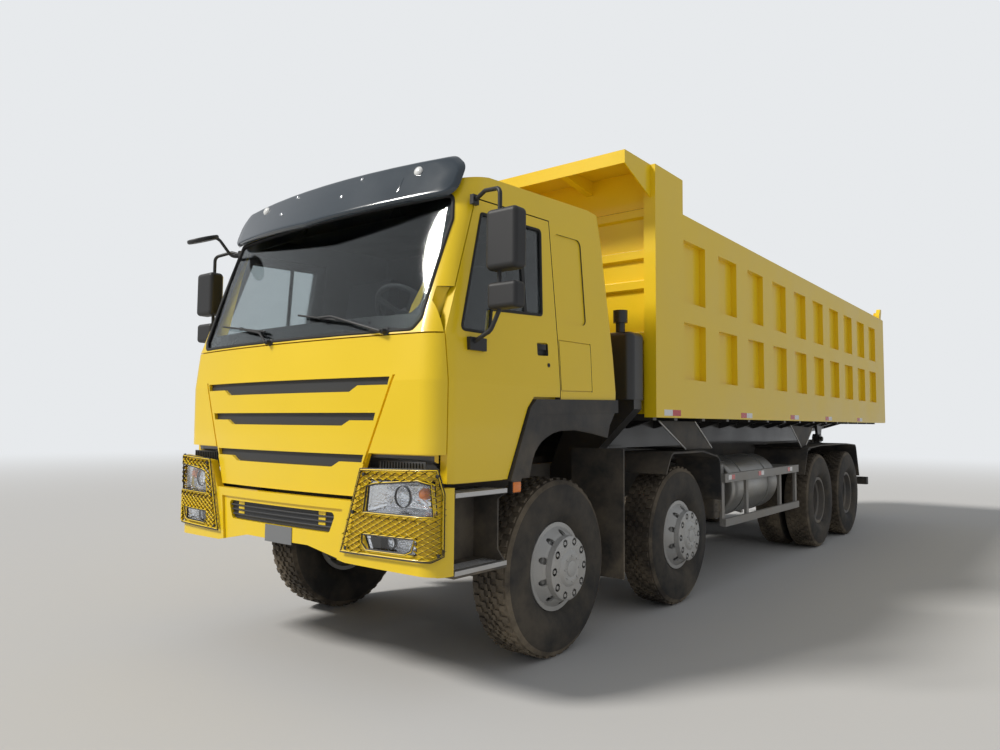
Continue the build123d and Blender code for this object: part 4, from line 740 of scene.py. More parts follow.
class TRUCK_OT_stage(bpy.types.Operator):
    """Add the pale floor, the soft light and the camera"""
    bl_idname = "truck.stage"
    bl_label = "Stage"

    def execute(self, context):
        sizes = context.scene.truck_stage
        add_floor(sizes.floor)
        add_sky(context.scene)
        add_sun(sizes.sun)
        add_camera(context.scene, sizes.lens)
        context.scene.view_settings.view_transform = "Standard"
        return {"FINISHED"}


# Materials and the CAD nodes that keep their shape

NODE_MATERIALS = {
    "body_yellow": ("front_lid", "bumper", "bed_sides", "bed_front", "tailgate"),
    "cab_yellow": ("cab_shell", "door_left", "door_right"),
    "bed_floor_paint_and_shade": ("bed_floor",),
    "visor_gloss": ("visor",),
    "chassis_paint": ("frame", "rear_bar", "exhaust", "hoist_barrel"),
    "cast_iron": ("axles", "leaf_springs", "driveline", "knuckle_1_left", "knuckle_1_right", "knuckle_2_left",
                  "knuckle_2_right"),
    "tank_metal": ("fuel_tank",),
    "box_grey": ("chassis_boxes", "side_guards"),
    "oil_tank_black": ("oil_tank",),
    "step_plastic": ("steps", "arch_liners", "mudguards"),
    "grille_dark": ("grille",),
    "mirror_plastic": ("mirrors_left", "mirrors_right", "front_mirror"),
    "seat_cloth": ("seats",),
    "dash_plastic": ("dashboard",),
    "window_glass": ("windshield", "door_glass_left", "door_glass_right"),
    "lens_glass": ("lamps",),
    "lift_steel": ("hoist_stage_1", "hoist_stage_2", "hoist_stage_3", "hoist_rod"),
    "wheel_paint": ("wheel_1_left", "wheel_1_right", "wheel_2_left", "wheel_2_right"),
    "rear_wheel_paint": ("wheels_3_left", "wheels_3_right", "wheels_4_left", "wheels_4_right"),
    "tyre_rubber": ("tyre_1_left", "tyre_1_right", "tyre_2_left", "tyre_2_right", "tyres_3_left",
                    "tyres_3_right", "tyres_4_left", "tyres_4_right"),
    "guard_yellow_and_shade": ("lamp_guards",),
}

# Finishes without settled dust: colour, roughness, metal, coat, grain, bump, shade
CLEAN_FINISHES = {
    "grille_dark": ((0.035, 0.036, 0.038), 0.50, 0.0, 0.0, 420, 0.30, 0.20),
    "mirror_plastic": ((0.020, 0.020, 0.021), 0.50, 0.0, 0.0, 500, 0.35, 0.20),
    "rubber_trim": ((0.018, 0.018, 0.018), 0.70, 0.0, 0.0, 300, 0.20, 0.20),
    "border_black": ((0.012, 0.012, 0.013), 0.30, 0.0, 0.0, 900, 0.20, 0.10),
    "seat_cloth": ((0.075, 0.075, 0.080), 0.92, 0.0, 0.0, 900, 0.80, 0.20),
    "dash_plastic": ((0.100, 0.100, 0.105), 0.65, 0.0, 0.0, 600, 0.40, 0.15),
    "lift_steel": ((0.520, 0.520, 0.530), 0.25, 1.0, 0.0, 500, 0.10, 0.10),
    "bright_metal": ((0.860, 0.870, 0.880), 0.08, 1.0, 0.0, 300, 0.02, 0.05),
    "plate_grey": ((0.200, 0.205, 0.210), 0.50, 0.2, 0.0, 240, 0.10, 0.15),
    "reflector_red": ((0.550, 0.012, 0.012), 0.25, 0.0, 0.5, 700, 0.50, 0.10),
    "reflector_white": ((0.750, 0.750, 0.740), 0.30, 0.0, 0.4, 700, 0.50, 0.10),
    "marker_white": ((0.800, 0.800, 0.780), 0.20, 0.0, 0.6, 500, 0.30, 0.10),
    "marker_orange": ((0.800, 0.200, 0.010), 0.20, 0.0, 0.6, 500, 0.30, 0.10),
}
# Finishes with dust: the same, then the share of the dust and the heights that it thins out between
DUSTY_FINISHES = {
    "tank_metal": ((0.420, 0.420, 0.410), 0.38, 0.85, 0.0, 260, 0.20, 0.15, 0.8, 0.4, 1.4),
    "box_grey": ((0.270, 0.265, 0.255), 0.45, 0.20, 0.0, 180, 0.20, 0.20, 0.9, 0.3, 1.4),
    "oil_tank_black": ((0.022, 0.022, 0.023), 0.35, 0.0, 0.3, 240, 0.20, 0.20, 0.3, 0.3, 1.6),
    "step_plastic": ((0.030, 0.030, 0.031), 0.62, 0.0, 0.0, 420, 0.40, 0.25, 1.1, 0.3, 1.8),
    "bare_aluminium": ((0.600, 0.600, 0.600), 0.40, 0.90, 0.0, 300, 0.25, 0.15, 0.6, 0.3, 1.6),
}
# Darker tones: colour, centre that faces look at, height, half width. A centre far below picks undersides
FAR_BELOW = (0, 0, -1000)
# Dark grey on the cab shell's inner faces and on its faces low down, below 1.292 m
CAB_INSIDE = ((0.05, 0.05, 0.052), (0, AXLE_1 - 0.35, 2.1), 1.292, 1.14)
# Painted shade: the downward faces of the lamp guards' strands are dark brownish yellow
STRAND_PAINTED_SHADE = ((0.09, 0.06, 0.01), FAR_BELOW, 0.0, 10.0)


class TRUCK_OT_materials(bpy.types.Operator):
    """Make every material and give the CAD nodes theirs"""
    bl_idname = "truck.materials"
    bl_label = "Materials"

    def execute(self, context):
        colours = context.scene.truck_colours
        dust = colours.dust
        GROUPS.update(dust=dust_group(), grain=grain_group(), chips=chip_group(), two_tone=two_tone_group())
        for name, finish in CLEAN_FINISHES.items():
            surface(name, *finish)
        for name, finish in DUSTY_FINISHES.items():
            surface(name, *finish[:7], dust * finish[7], *finish[8:])
        paint = {"rough": 0.38, "coat": 0.35, "grain": 380, "bump": 0.12, "shade": 0.07, "dust": dust * 0.2,
                 "dust_low": 0.5, "dust_high": 1.5, "depth": 0.0004}
        # Painted shade: the bed floor's undersides, and all of it below the floor, take the chassis colour
        bed_painted_shade = (colours.chassis, FAR_BELOW, BED_FLOOR_LOW, 10.0)
        surface("body_yellow", colours.body, **paint)
        surface("cab_yellow", colours.body, dark_tone=CAB_INSIDE, **paint)
        surface("bed_floor_paint_and_shade", colours.body, dark_tone=bed_painted_shade, **paint)
        # The guards' yellow, with painted shade on the strands' undersides
        surface("guard_yellow_and_shade", colours.body, rough=0.45, coat=0.2, grain=300, bump=0.2, shade=0.1, chips=0.3,
                dust=dust * 0.4, dust_high=1.4, depth=0.0005, dark_tone=STRAND_PAINTED_SHADE)
        surface("visor_gloss", colours.visor, rough=0.18, coat=0.8, grain=500, bump=0.05, shade=0.1,
                depth=0.0003)
        surface("chassis_paint", colours.chassis, rough=0.55, grain=150, bump=0.3, shade=0.3, dust=dust * 1.3,
                dust_low=0.2, dust_high=1.5, chips=0.15)
        surface("cast_iron", (0.06, 0.055, 0.05), rough=0.7, grain=120, bump=0.6, shade=0.4, dust=dust * 1.6,
                dust_low=0.2, dust_high=1.2, chips=0.3, depth=0.002)
        surface("wheel_paint", colours.wheel, rough=0.42, metal=0.25, grain=220, bump=0.2, shade=0.15,
                dust=dust * 0.7, dust_low=0.1, dust_high=1.2)
        surface("rear_wheel_paint", colours.rear_wheel, rough=0.55, metal=0.2, grain=220, bump=0.3, shade=0.3,
                dust=dust * 1.4, dust_low=0.1, dust_high=1.3)
        surface("tyre_rubber", (0.024, 0.023, 0.022), rough=0.78, grain=260, bump=0.4, shade=0.3,
                dust=dust * 0.5, dust_low=-0.2, dust_high=2.4, depth=0.0015)
        surface("tread_rubber", (0.045, 0.037, 0.029), rough=0.9, grain=160, bump=0.7, shade=0.5,
                dust=dust * 1.5, dust_low=-0.2, dust_high=2.0, depth=0.002)
        surface("lamp_bowl", (0.85, 0.86, 0.88), rough=0.15, metal=1.0, grain=90, bump=0.8, shade=0.1,
                depth=0.004)
        surface("mirror_face", (0.90, 0.91, 0.92), rough=0.02, metal=1.0, grain=100, bump=0.0, shade=0.02,
                spread=0.02)
        glass("window_glass", (0.60, 0.65, 0.66))
        glass("lens_glass", (0.96, 0.97, 0.98))
        for material, names in NODE_MATERIALS.items():
            for name in names:
                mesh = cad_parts[name].data
                mesh.materials.clear()
                mesh.materials.append(MATERIALS[material])
        return {"FINISHED"}


# Tyres

# Edges of the tread's rows of blocks, from the middle outwards, and the depth that the tread's rubber takes
TREAD_EDGES = (0.0, 0.021, 0.030, 0.062, 0.071, 0.112, 0.118)
TREAD_BAND = 0.036
SHOULDER = 0.030
# The wall's outside and inside: distance in from the tyre's widest place, radius
TYRE_WALL = ((0.0535, 0.262), (0.050, 0.279), (0.030, 0.300), (0.012, 0.330), (0.010, 0.336), (0.004, 0.352),
             (0.001, 0.395), (0.004, 0.430), (0.004, 0.436), (0.008, 0.462), (0.009, 0.500))
TYRE_INSIDE = ((0.078, 0.262), (0.045, 0.36), (0.045, 0.46))


def front_left_tyre(blocks, depth):
    """Tyre with staggered tread blocks between zigzag grooves."""
    centre = Vector((FRONT_TRACK, AXLES[0], WHEEL_Z))
    half, base = TYRE_WIDTH / 2, TYRE_RADIUS - depth
    shoulder = half - SHOULDER
    wall = [(half - inwards, radius) for inwards, radius in TYRE_WALL] + [(half - 0.016, base - 0.028)]
    tread = [(shoulder, base)] + [(edge, base) for edge in TREAD_EDGES[::-1] if edge < shoulder - 0.01]
    right = wall + tread
    left = [(-x, r) for x, r in right[::-1] if x > 0]
    inner = [(half - inwards, radius) for inwards, radius in TYRE_INSIDE] + [(half - 0.08, base - 0.035)]
    inside = [(-x, r) for x, r in inner] + inner[::-1]
    steps = blocks * 2
    piece = lathe("tread_tyre", right + left + inside, centre, steps, closed=True)
    # Rows of blocks from the shoulder inwards: low and high edge, and whether they are staggered
    rows = ((TREAD_EDGES[6], shoulder, 0), (TREAD_EDGES[4], TREAD_EDGES[5], 1),
            (TREAD_EDGES[2], TREAD_EDGES[3], 0), (TREAD_EDGES[0], TREAD_EDGES[1], 1))

    def in_block(face):
        away = face.center - centre
        if hypot(away.y, away.z) < base - 0.012:
            return False
        turn = int(atan2(away.y, away.z) / (2 * pi / steps) + steps)
        return any(low <= abs(away.x) <= high + 0.001 and (turn + (phase if away.x >= 0 else 1 - phase)) % 2
                   for low, high, phase in rows)

    with editing(piece, in_block):
        bpy.ops.mesh.extrude_region_shrink_fatten(TRANSFORM_OT_shrink_fatten={"value": depth})
    return piece


class TRUCK_OT_tyres(bpy.types.Operator):
    """Model the twelve tyres with their tread"""
    bl_idname = "truck.tyres"
    bl_label = "Tyres"

    def execute(self, context):
        sizes = context.scene.truck_tyres
        first = front_left_tyre(sizes.blocks, sizes.depth)
        first.data.materials.clear()
        for material in ("tyre_rubber", "tread_rubber"):
            first.data.materials.append(MATERIALS[material])
        for face in first.data.polygons:
            reach = hypot(face.center.y - AXLES[0], face.center.z - WHEEL_Z)
            face.material_index = 1 if reach > TYRE_RADIUS - TREAD_BAND else 0
        smooth(first, 30)
        for axle, axle_y in enumerate(AXLES):
            front = axle < 2
            tyres, wheels = ("tyre", "wheel") if front else ("tyres", "wheels")
            places = (FRONT_TRACK,) if front else (REAR_INNER, REAR_OUTER)
            for word, side in SIDES:
                name = f"{tyres}_{axle + 1}_{word}"
                parts = [copied(first, "twin", (x - FRONT_TRACK, axle_y - AXLES[0], 0)) for x in places]
                piece = joined(f"tread_{name}", parts)
                if side == RIGHT:
                    mirror(piece)
                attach(piece, f"{wheels}_{axle + 1}_{word}")
                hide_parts(name)
        bpy.data.objects.remove(first)
        return {"FINISHED"}


# Wheels' trim

# Lathe profiles: distance along the axle from the disc's face, radius
NUT = ((0, 0), (0, 0.0175), (0.015, 0.0175), (0.018, 0.0155), (0.018, 0.0108), (0.030, 0.0106),
       (0.034, 0.008), (0.034, 0))
COVER_DISC = ((0.0515, 0), (0.0515, 0.098), (0.0385, 0.112), (0.0385, 0.182), (0.034, 0.192), (0.001, 0.198),
              (0.001, 0.2035), (0.036, 0.198), (0.041, 0.192), (0.0425, 0.184), (0.0425, 0.114),
              (0.0555, 0.100), (0.0575, 0.094), (0.0575, 0.062), (0.0555, 0.058), (0.0555, 0))
NUT_HOLE = ((-0.01, 0), (-0.01, 0.025), (0.06, 0.025), (0.06, 0))
FRONT_CAP = ((-0.001, 0), (-0.001, 0.050), (0.004, 0.048), (0.006, 0.042), (0.006, 0))
FRONT_BOLT = ((-0.004, 0), (-0.004, 0.007), (0.006, 0.007), (0.008, 0.005), (0.008, 0))
REAR_CAP = ((0.1505, 0), (0.1505, 0.063), (0.156, 0.061), (0.159, 0.054), (0.160, 0))
REAR_BOLT = ((0.1585, 0), (0.1585, 0.008), (0.168, 0.008), (0.170, 0.006), (0.170, 0))
CAP_BOLTS = 8
HALF_PITCH = 0.5
FRONT_CAP_FACE = 0.0555
# Bolts of the front cap and of the rear cap: distance out from the disc or the wheel's middle, radius
FRONT_BOLT_SPOT, REAR_BOLT_SPOT = (0.0575, 0.078), (0.0, 0.046)
REAR_NUT_FACE = 0.0135


def ring_of(piece, centre, count, first=0.0):
    """Copies of a piece round an axle, in its place."""
    parts = [copied(piece, piece.name, turn=(2 * pi * (i + first) / count, centre)) for i in range(count)]
    bpy.data.objects.remove(piece)
    return parts


class TRUCK_OT_wheel_trim(bpy.types.Operator):
    """Model the wheels' cover discs, nuts and hub caps"""
    bl_idname = "truck.wheel_trim"
    bl_label = "Wheel trim"

    def execute(self, context):
        centre = Vector((FRONT_TRACK, AXLES[0], WHEEL_Z))
        face = centre + Vector((DISH, 0, 0))
        stud = face + Vector((0, 0, STUD_CIRCLE))
        nuts = ring_of(lathe("nut", NUT, stud, 6), centre, STUDS, HALF_PITCH)
        cover = lathe("cover", COVER_DISC, face, 60)
        holes = ring_of(lathe("hole", NUT_HOLE, stud, 24), centre, STUDS, HALF_PITCH)
        cut_by(cover, joined("holes", holes))
        cap = lathe("cap", FRONT_CAP, face + Vector((FRONT_CAP_FACE, 0, 0)), 40)
        out, up = FRONT_BOLT_SPOT
        bolts = ring_of(lathe("bolt", FRONT_BOLT, face + Vector((out, 0, up)), 6), centre, CAP_BOLTS)
        front = joined("trim", [cover, cap] + nuts + bolts)

        centre = Vector(((REAR_INNER + REAR_OUTER) / 2, AXLES[2], WHEEL_Z))
        stud = centre + Vector((REAR_NUT_FACE, 0, STUD_CIRCLE))
        nuts = ring_of(lathe("nut", NUT, stud, 6), centre, STUDS, HALF_PITCH)
        cap = lathe("cap", REAR_CAP, centre, 40)
        out, up = REAR_BOLT_SPOT
        bolts = ring_of(lathe("bolt", REAR_BOLT, centre + Vector((out, 0, up)), 6), centre, CAP_BOLTS)
        rear = joined("trim", nuts + [cap] + bolts)

        for trim, axles, material, wheels, slot in (
                (front, (0, 1), "wheel_paint", "wheel", "wheel_silver"),
                (rear, (2, 3), "rear_wheel_paint", "wheels", "wheel_dark")):
            for axle in axles:
                for word, side in SIDES:
                    twin = copied(trim, f"wheel_trim_{axle + 1}_{word}",
                                  (0, AXLES[axle] - AXLES[axles[0]], 0), mirrored=side == RIGHT)
                    dress(twin, material, f"{wheels}_{axle + 1}_{word}", slot)
            bpy.data.objects.remove(trim)
        return {"FINISHED"}


# Lamp guards, drawn as distance along the bumper's skin and height

GUARD_OUT = 0.019
GUARD_RUN = (0.615, 1.277)
GUARD_Z = (0.772, 1.228)
GUARD_LINE = ((0.752, 1.212), (1.24, 1.224), (1.277, 1.10), (1.277, 0.80), (1.21, 0.772), (0.615, 0.772))
# Openings of the guards over the lamps: x, z
GUARD_WINDOWS = (
    ((0.796, 1.128), (0.860, 1.142), (1.130, 1.168), (1.200, 1.150), (1.212, 0.992), (0.775, 0.992)),
    ((0.770, 0.874), (1.120, 0.874), (1.100, 0.815), (1.060, 0.796), (0.800, 0.796), (0.765, 0.830)),
)
GUARD_BOLTS = ((0.775, 1.190), (1.245, 1.195), (1.255, 0.800), (0.650, 0.790), (0.700, 0.985))
GUARD_BOLT = ((-0.018, 0), (-0.018, 0.006), (0.002, 0.006), (0.002, 0.011), (0.006, 0.010), (0.008, 0.005),
              (0.008, 0))
# The mesh's strands are this many times as deep as the modifier makes them
STRAND_DEPTH = 2.0
RIM_RADIUS, WINDOW_RIM_RADIUS, OUTLINE_RADIUS = 0.005, 0.004, 0.0035
LINE_STEP = 0.03


def run_at(x):
    """Distance along the bumper's skin, from the centre line to x."""
    half, front, bow, corner = bumper_plan(GUARD_OUT)
    radius, _, corner_x, _ = plan_of(half, front, bow, corner)
    swing = asin(corner_x / (radius - corner))
    if x <= radius * sin(swing):
        return radius * asin(x / radius)
    return radius * swing + corner * (asin(min((x - corner_x) / corner, 1)) - swing)


def inside_line(line, x, z):
    inside = False
    for (x0, z0), (x1, z1) in zip(line, line[1:] + line[:1]):
        if (z0 > z) != (z1 > z) and x < x0 + (z - z0) / (z1 - z0) * (x1 - x0):
            inside = not inside
    return inside


def grown(line, by):
    """Outline moved outwards from its middle."""
    cx, cz = middle(line)[0]
    return tuple((x + (by if x > cx else -by), z + (by if z > cz else -by)) for x, z in line)


def fine_line(line):
    """Closed line with points added at even steps."""
    points = []
    for (x0, z0), (x1, z1) in zip(line, line[1:] + line[:1]):
        count = max(1, round(hypot(x1 - x0, z1 - z0) / LINE_STEP))
        points += [(x0 + (x1 - x0) * i / count, z0 + (z1 - z0) * i / count) for i in range(count)]
    return points


def guard_tube(line, radius, out=GUARD_OUT):
    """Thin closed bar along a line of the guard."""
    points = [bumper_run(*spot, out) for spot in fine_line(line)]
    return tube("guard_edge", points, radius, closed=True, sides=1)


class TRUCK_OT_lamp_guards(bpy.types.Operator):
    """Model the expanded-metal guards over the lamps"""
    bl_idname = "truck.lamp_guards"
    bl_label = "Lamp guards"

    def execute(self, context):
        sizes = context.scene.truck_guards
        (run_0, run_1), (z_0, z_1) = GUARD_RUN, GUARD_Z
        cells = int((run_1 - run_0) / sizes.long_way + (z_1 - z_0) / sizes.short_way) + 2
        windows = [grown([(run_at(x), z) for x, z in line], 0.004) for line in GUARD_WINDOWS]
        field = grown(GUARD_LINE, -0.010)
        holes = [grown(line, 0.012) for line in windows]

        def on_plane(u, v):
            """Cells stand on a corner, so u and v run along the mesh's slanted strands."""
            run = (run_0 + run_1) / 2 + (u + v - 1) * cells * sizes.long_way / 2
            return run, (z_0 + z_1) / 2 + (v - u) * cells * sizes.short_way / 2

        def kept(u, v):
            spot = on_plane(u, v)
            return inside_line(field, *spot) and not any(inside_line(hole, *spot) for hole in holes)

        def flat(u, v):
            run, z = on_plane(u, v)
            return Vector((run, 0, z))

        web = bent_sheet("guard_web", cells, cells, flat, kept=kept)
        modify(web, "WIREFRAME", thickness=sizes.strand, use_even_offset=False)
        for vertex in web.data.vertices:
            run, deep, z = vertex.co
            vertex.co = bumper_run(run, z, GUARD_OUT + deep * STRAND_DEPTH)
        rims = [guard_tube(GUARD_LINE, RIM_RADIUS)]
        rims += [guard_tube(line, WINDOW_RIM_RADIUS) for line in windows]
        guard = joined("guard", [outward(web)] + rims)
        dress_both(guard, "guard_yellow_and_shade", "chassis", "body_yellow", "lamp_guards")

        lines = [grown(GUARD_LINE, 0.007)] + [grown(line, -0.0055) for line in windows]
        dark = [guard_tube(line, OUTLINE_RADIUS, GUARD_OUT - 0.001) for line in lines]
        for run, z in GUARD_BOLTS:
            spot = bumper_run(run, z, GUARD_OUT)
            away = bumper_run(run, z, GUARD_OUT + 0.01) - spot
            dark.append(lathe("bolt", GUARD_BOLT, spot, 12, away))
        dress_both(joined("guard_outline", dark), "mirror_plastic", "chassis", "plastic_black")
        return {"FINISHED"}


# Lamps

HEAD_LINE = [(0.772, 0.986), (1.214, 0.986), (1.204, 1.169), (0.791, 1.164)]
FOG_LINE = [(0.801, 0.791), (1.119, 0.791), (1.119, 0.879), (0.762, 0.879)]
TURN_BULB = ((0, 0), (0, 0.030), (0.018, 0.032), (0.036, 0.022), (0.046, 0))
# Ring round a bulging lens and the lens: distance ahead, share of the radius
RING = ((0.014, 0.93), (0.026, 0.93), (0.029, 0.96), (0.026, 1.0), (0.014, 1.0))
EYE = ((0.0, 0), (0.0, 0.89), (0.010, 0.85), (0.020, 0.60), (0.025, 0.30), (0.026, 0))
FACETS_PER_METRE = 330
LENS_RISE = 0.002
# Projectors of headlamp and fog lamp: x, z, radius, depth behind the bumper's skin
HEAD_PROJECTOR, FOG_PROJECTOR = (0.985, 1.078, 0.058, 0.060), (0.925, 0.836, 0.034, 0.046)
# Turn lamp and the corners of the fog lamp's blank: x, z, distance out from the skin
TURN_SPOT = (1.112, 1.098, -0.066)
BLANK_LOW, BLANK_HIGH = (0.790, 0.800, -0.055), (0.872, 0.872, -0.012)
# Tail lamp, from the middle outwards: finish, x of both edges. Its ribs: height of the lower edge
TAIL_COVERS = (("reflector_red", 0.900, 1.035), ("marker_orange", 1.039, 1.105),
               ("reflector_white", 1.109, 1.170))
TAIL_RIBS = (0.618, 0.634, 0.650, 0.666)
TAIL_Z, TAIL_DEPTH = (0.602, 0.688), 0.0247
TAIL_BACK_X, TAIL_BACK_Z = (0.897, 1.173), (0.598, 0.692)
# Side marker's middle, and the half length and half height of its base and its cap
MARKER = (1.236, -0.572, 1.103)
MARKER_BASE, MARKER_CAP = (0.040, 0.034), (0.036, 0.030)
AHEAD = (0, -1, 0)


def bowl(line, depth, flute):
    """Mirror-bright bowl behind a lens, with facets from rim to floor."""
    edge = rounded(grown(line, -0.004), 0.02, bend=5, between=24)

    def place(x, z, v):
        facet = flute * (1 + sin(x * FACETS_PER_METRE) * sin(z * FACETS_PER_METRE)) * min(v * 4, 1)
        return bumper_front(x, z, -0.010 - depth * min(v * 3.2, 1.0) - facet)

    return band("bowl", edge, middle(line), place, 0.002, rows=26)


def lens(line):
    edge = rounded(grown(line, -0.0015), 0.02, bend=5, between=14)

    def place(x, z, v):
        return bumper_front(x, z, -0.005 + LENS_RISE * min(v * 3, 1))

    return band("lens", edge, middle(line), place, 0.003, rows=6)


def lens_frame(line):
    edge = rounded(grown(line, -0.003), 0.02, bend=5, between=14)
    return tube("edge", [bumper_front(*spot, -0.003) for spot in edge], 0.0042, closed=True, sides=1)


def projector(x, z, radius, sink):
    """Dark ring round a bulging lens."""
    spot = bumper_front(x, z, -sink)
    ring = lathe("ring", [(ahead, radius * share) for ahead, share in RING], spot, 40, AHEAD, closed=True)
    eye = lathe("eye", [(ahead, radius * share) for ahead, share in EYE], spot, 32, AHEAD)
    return ring, eye


class TRUCK_OT_lamps(bpy.types.Operator):
    """Model the headlamps, fog lamps, tail lamps and markers"""
    bl_idname = "truck.lamps"
    bl_label = "Lamps"

    def execute(self, context):
        ring, eye = projector(*HEAD_PROJECTOR)
        bulb = lathe("bulb", TURN_BULB, bumper_front(*TURN_SPOT), 24, AHEAD)
        fog_ring, fog_eye = projector(*FOG_PROJECTOR)
        blank = block("fog_blank", bumper_front(*BLANK_LOW), bumper_front(*BLANK_HIGH))
        bowls = [bowl(HEAD_LINE, 0.060, 0.0055), bowl(FOG_LINE, 0.045, 0.004)]
        lenses = [lens(HEAD_LINE), lens(FOG_LINE), eye, fog_eye]
        rings = [ring, fog_ring, blank, lens_frame(HEAD_LINE), lens_frame(FOG_LINE)]
        dress_both(joined("lamp_bowls", bowls), "lamp_bowl", "chassis", "lamp_glass")
        dress_both(joined("lamp_lenses", lenses), "lens_glass", "chassis", "lamp_glass", "lamps")
        dress_both(joined("lamp_rings", rings), "mirror_plastic", "chassis", "plastic_black")
        dress_both(joined("turn_lamps", [bulb]), "marker_orange", "chassis", "lamp_glass")

        back_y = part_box("lamps")[1].y
        tail_y = back_y - TAIL_DEPTH
        for material, x0, x1 in TAIL_COVERS:
            cover = block(f"tail_{material}", (x0, tail_y + 0.001, TAIL_Z[0]), (x1, back_y, TAIL_Z[1]), 0.006)
            ribs = [block("rib", (x0 + 0.006, back_y - 0.001, z), (x1 - 0.006, back_y, z + 0.004), 0.001, 1)
                    for z in TAIL_RIBS]
            dress_both(joined(cover.name, [cover] + ribs), material, "chassis", "lamp_glass")
        (x0, x1), (z0, z1) = TAIL_BACK_X, TAIL_BACK_Z
        back = block("tail_back", (x0, tail_y, z0), (x1, tail_y + 0.004, z1), 0.001)
        dress(paired("tail_backs", [back]), "mirror_plastic", "chassis", "plastic_black")

        x, y, z = MARKER
        long, high = MARKER_BASE
        base = block("base", at(x - 0.034, y - long, z - high), at(x - 0.002, y + long, z + high))
        long, high = MARKER_CAP
        cap = block("cap", at(x - 0.012, y - long, z - high), at(x + 0.005, y + long, z + high), 0.007, 3)
        dress(paired("side_markers", [cap]), "marker_orange", "chassis", "lamp_glass")
        dress(paired("marker_bases", [base]), "mirror_plastic", "chassis", "plastic_black")
        return {"FINISHED"}


# Windshield and wipers, drawn as x and z on the cab's front

SHIELD_LINE = [(-1.010, 1.962), (1.010, 1.962), (1.052, 2.020), (1.072, 2.600), (1.040, 2.752),
               (-1.040, 2.752), (-1.072, 2.600), (-1.052, 2.020)]
SHIELD_CLEAR = [(-0.955, 2.055), (0.955, 2.055), (1.005, 2.100), (1.034, 2.580), (1.005, 2.672),
                (-1.005, 2.672), (-1.034, 2.580), (-1.005, 2.100)]
# Wipers: pivot, elbow, blade's two ends
WIPERS = (((0.836, 1.958), (0.394, 2.078), (0.528, 2.038), (0.072, 2.110)),
          ((-0.155, 1.954), (-0.265, 2.024), (-0.236, 2.030), (-0.830, 2.112)))
WIPER_PIVOT = ((0, 0), (0, 0.026), (0.014, 0.024), (0.020, 0.017), (0.048, 0.015), (0.052, 0.010),
               (0.052, 0))
WIPER_JOINT = ((0, 0), (0, 0.011), (0.02, 0.011), (0.022, 0.008), (0.022, 0))
ARM_STEPS, BLADE_STEPS = 10, 14
SHIELD_SEAL_RADIUS = 0.0115


def along_line(points, count):
    """Evenly spaced points along a run of 2-D points."""
    lengths = [hypot(b[0] - a[0], b[1] - a[1]) for a, b in zip(points, points[1:])]
    result = []
    for i in range(count + 1):
        left = sum(lengths) * i / count
        for (a, b), length in zip(zip(points, points[1:]), lengths):
            if left <= length + 1e-9:
                break
            left -= length
        t = min(left / length, 1)
        result.append((a[0] + (b[0] - a[0]) * t, a[1] + (b[1] - a[1]) * t))
    return result


def wiper(pivot, elbow, near, far):
    """Pivot cap, bent arm, blade with its rubber lip, and the joint between them."""
    base, tip = cab_front(*pivot, -0.01), cab_front(*pivot, 0.042)
    centre = ((near[0] + far[0]) / 2, (near[1] + far[1]) / 2)
    arm = [cab_front(*spot, 0.040 - 0.010 * i / ARM_STEPS)
           for i, spot in enumerate(along_line([pivot, elbow, centre], ARM_STEPS))]
    half = BLADE_STEPS / 2
    spine = [cab_front(*spot, 0.024 - 0.006 * abs(i - half) / half)
             for i, spot in enumerate(along_line([near, far], BLADE_STEPS))]

    def lip(u, v):
        return cab_front(near[0] + (far[0] - near[0]) * u, near[1] + (far[1] - near[1]) * u, 0.001 + 0.02 * v)

    return [lathe("pivot", WIPER_PIVOT, base, 20, tip - base), tube("arm", arm, 0.0075),
            tube("spine", spine, 0.006), bent_sheet("lip", BLADE_STEPS, 1, lip, 0.004),
            lathe("joint", WIPER_JOINT, cab_front(*centre, 0.014), 14, AHEAD)]


class TRUCK_OT_windshield(bpy.types.Operator):
    """Model the windshield's seal, dark border and wipers"""
    bl_idname = "truck.windshield"
    bl_label = "Windshield"

    def execute(self, context):
        edge = rounded(SHIELD_LINE, 0.04)
        spots = [cab_front(*spot, -0.002) for spot in edge]
        seal = tube("shield_seal", spots, SHIELD_SEAL_RADIUS, closed=True)
        dress(seal, "rubber_trim", "cab", "plastic_black")
        outer, inner = rounded(grown(SHIELD_LINE, -0.002), 0.04), rounded(SHIELD_CLEAR, 0.05)
        border = band("shield_border", outer, inner, lambda x, z, v: cab_front(x, z, -0.0165), 0.002)
        dress(border, "border_black", "cab", "plastic_black")
        parts = [part for places in WIPERS for part in wiper(*places)]
        dress(joined("wipers", parts), "mirror_plastic", "cab", "plastic_black")
        return {"FINISHED"}


# Doors, drawn as y behind the first axle and z on the cab's side

WINDOW_LINE = [(-1.030, 1.968), (-0.800, 2.660), (-0.215, 2.685), (-0.265, 2.135), (-0.760, 2.108),
               (-0.790, 1.968)]
DIVIDER_Y, DIVIDER_Z, DIVIDER_HALF = -0.432, (2.122, 2.672), 0.014
WINDOW_SEAL_RADIUS = 0.0095
HANDLE_FLOOR = 1.184
HANDLE_Y, HANDLE_Z = (-0.334, -0.226), (1.884, 1.956)
LOCK = ((0, 0), (0, 0.013), (0.004, 0.013), (0.006, 0.011), (0.006, 0.003), (0.002, 0.002), (0.002, 0))
# Mirror faces: x and z of both edges, y of the front
MIRROR_FACES = ((1.360, 1.525, 2.292, 2.573, -0.8995), (1.363, 1.522, 2.085, 2.185, -0.9045))
MIRROR_THICKNESS = 0.0035


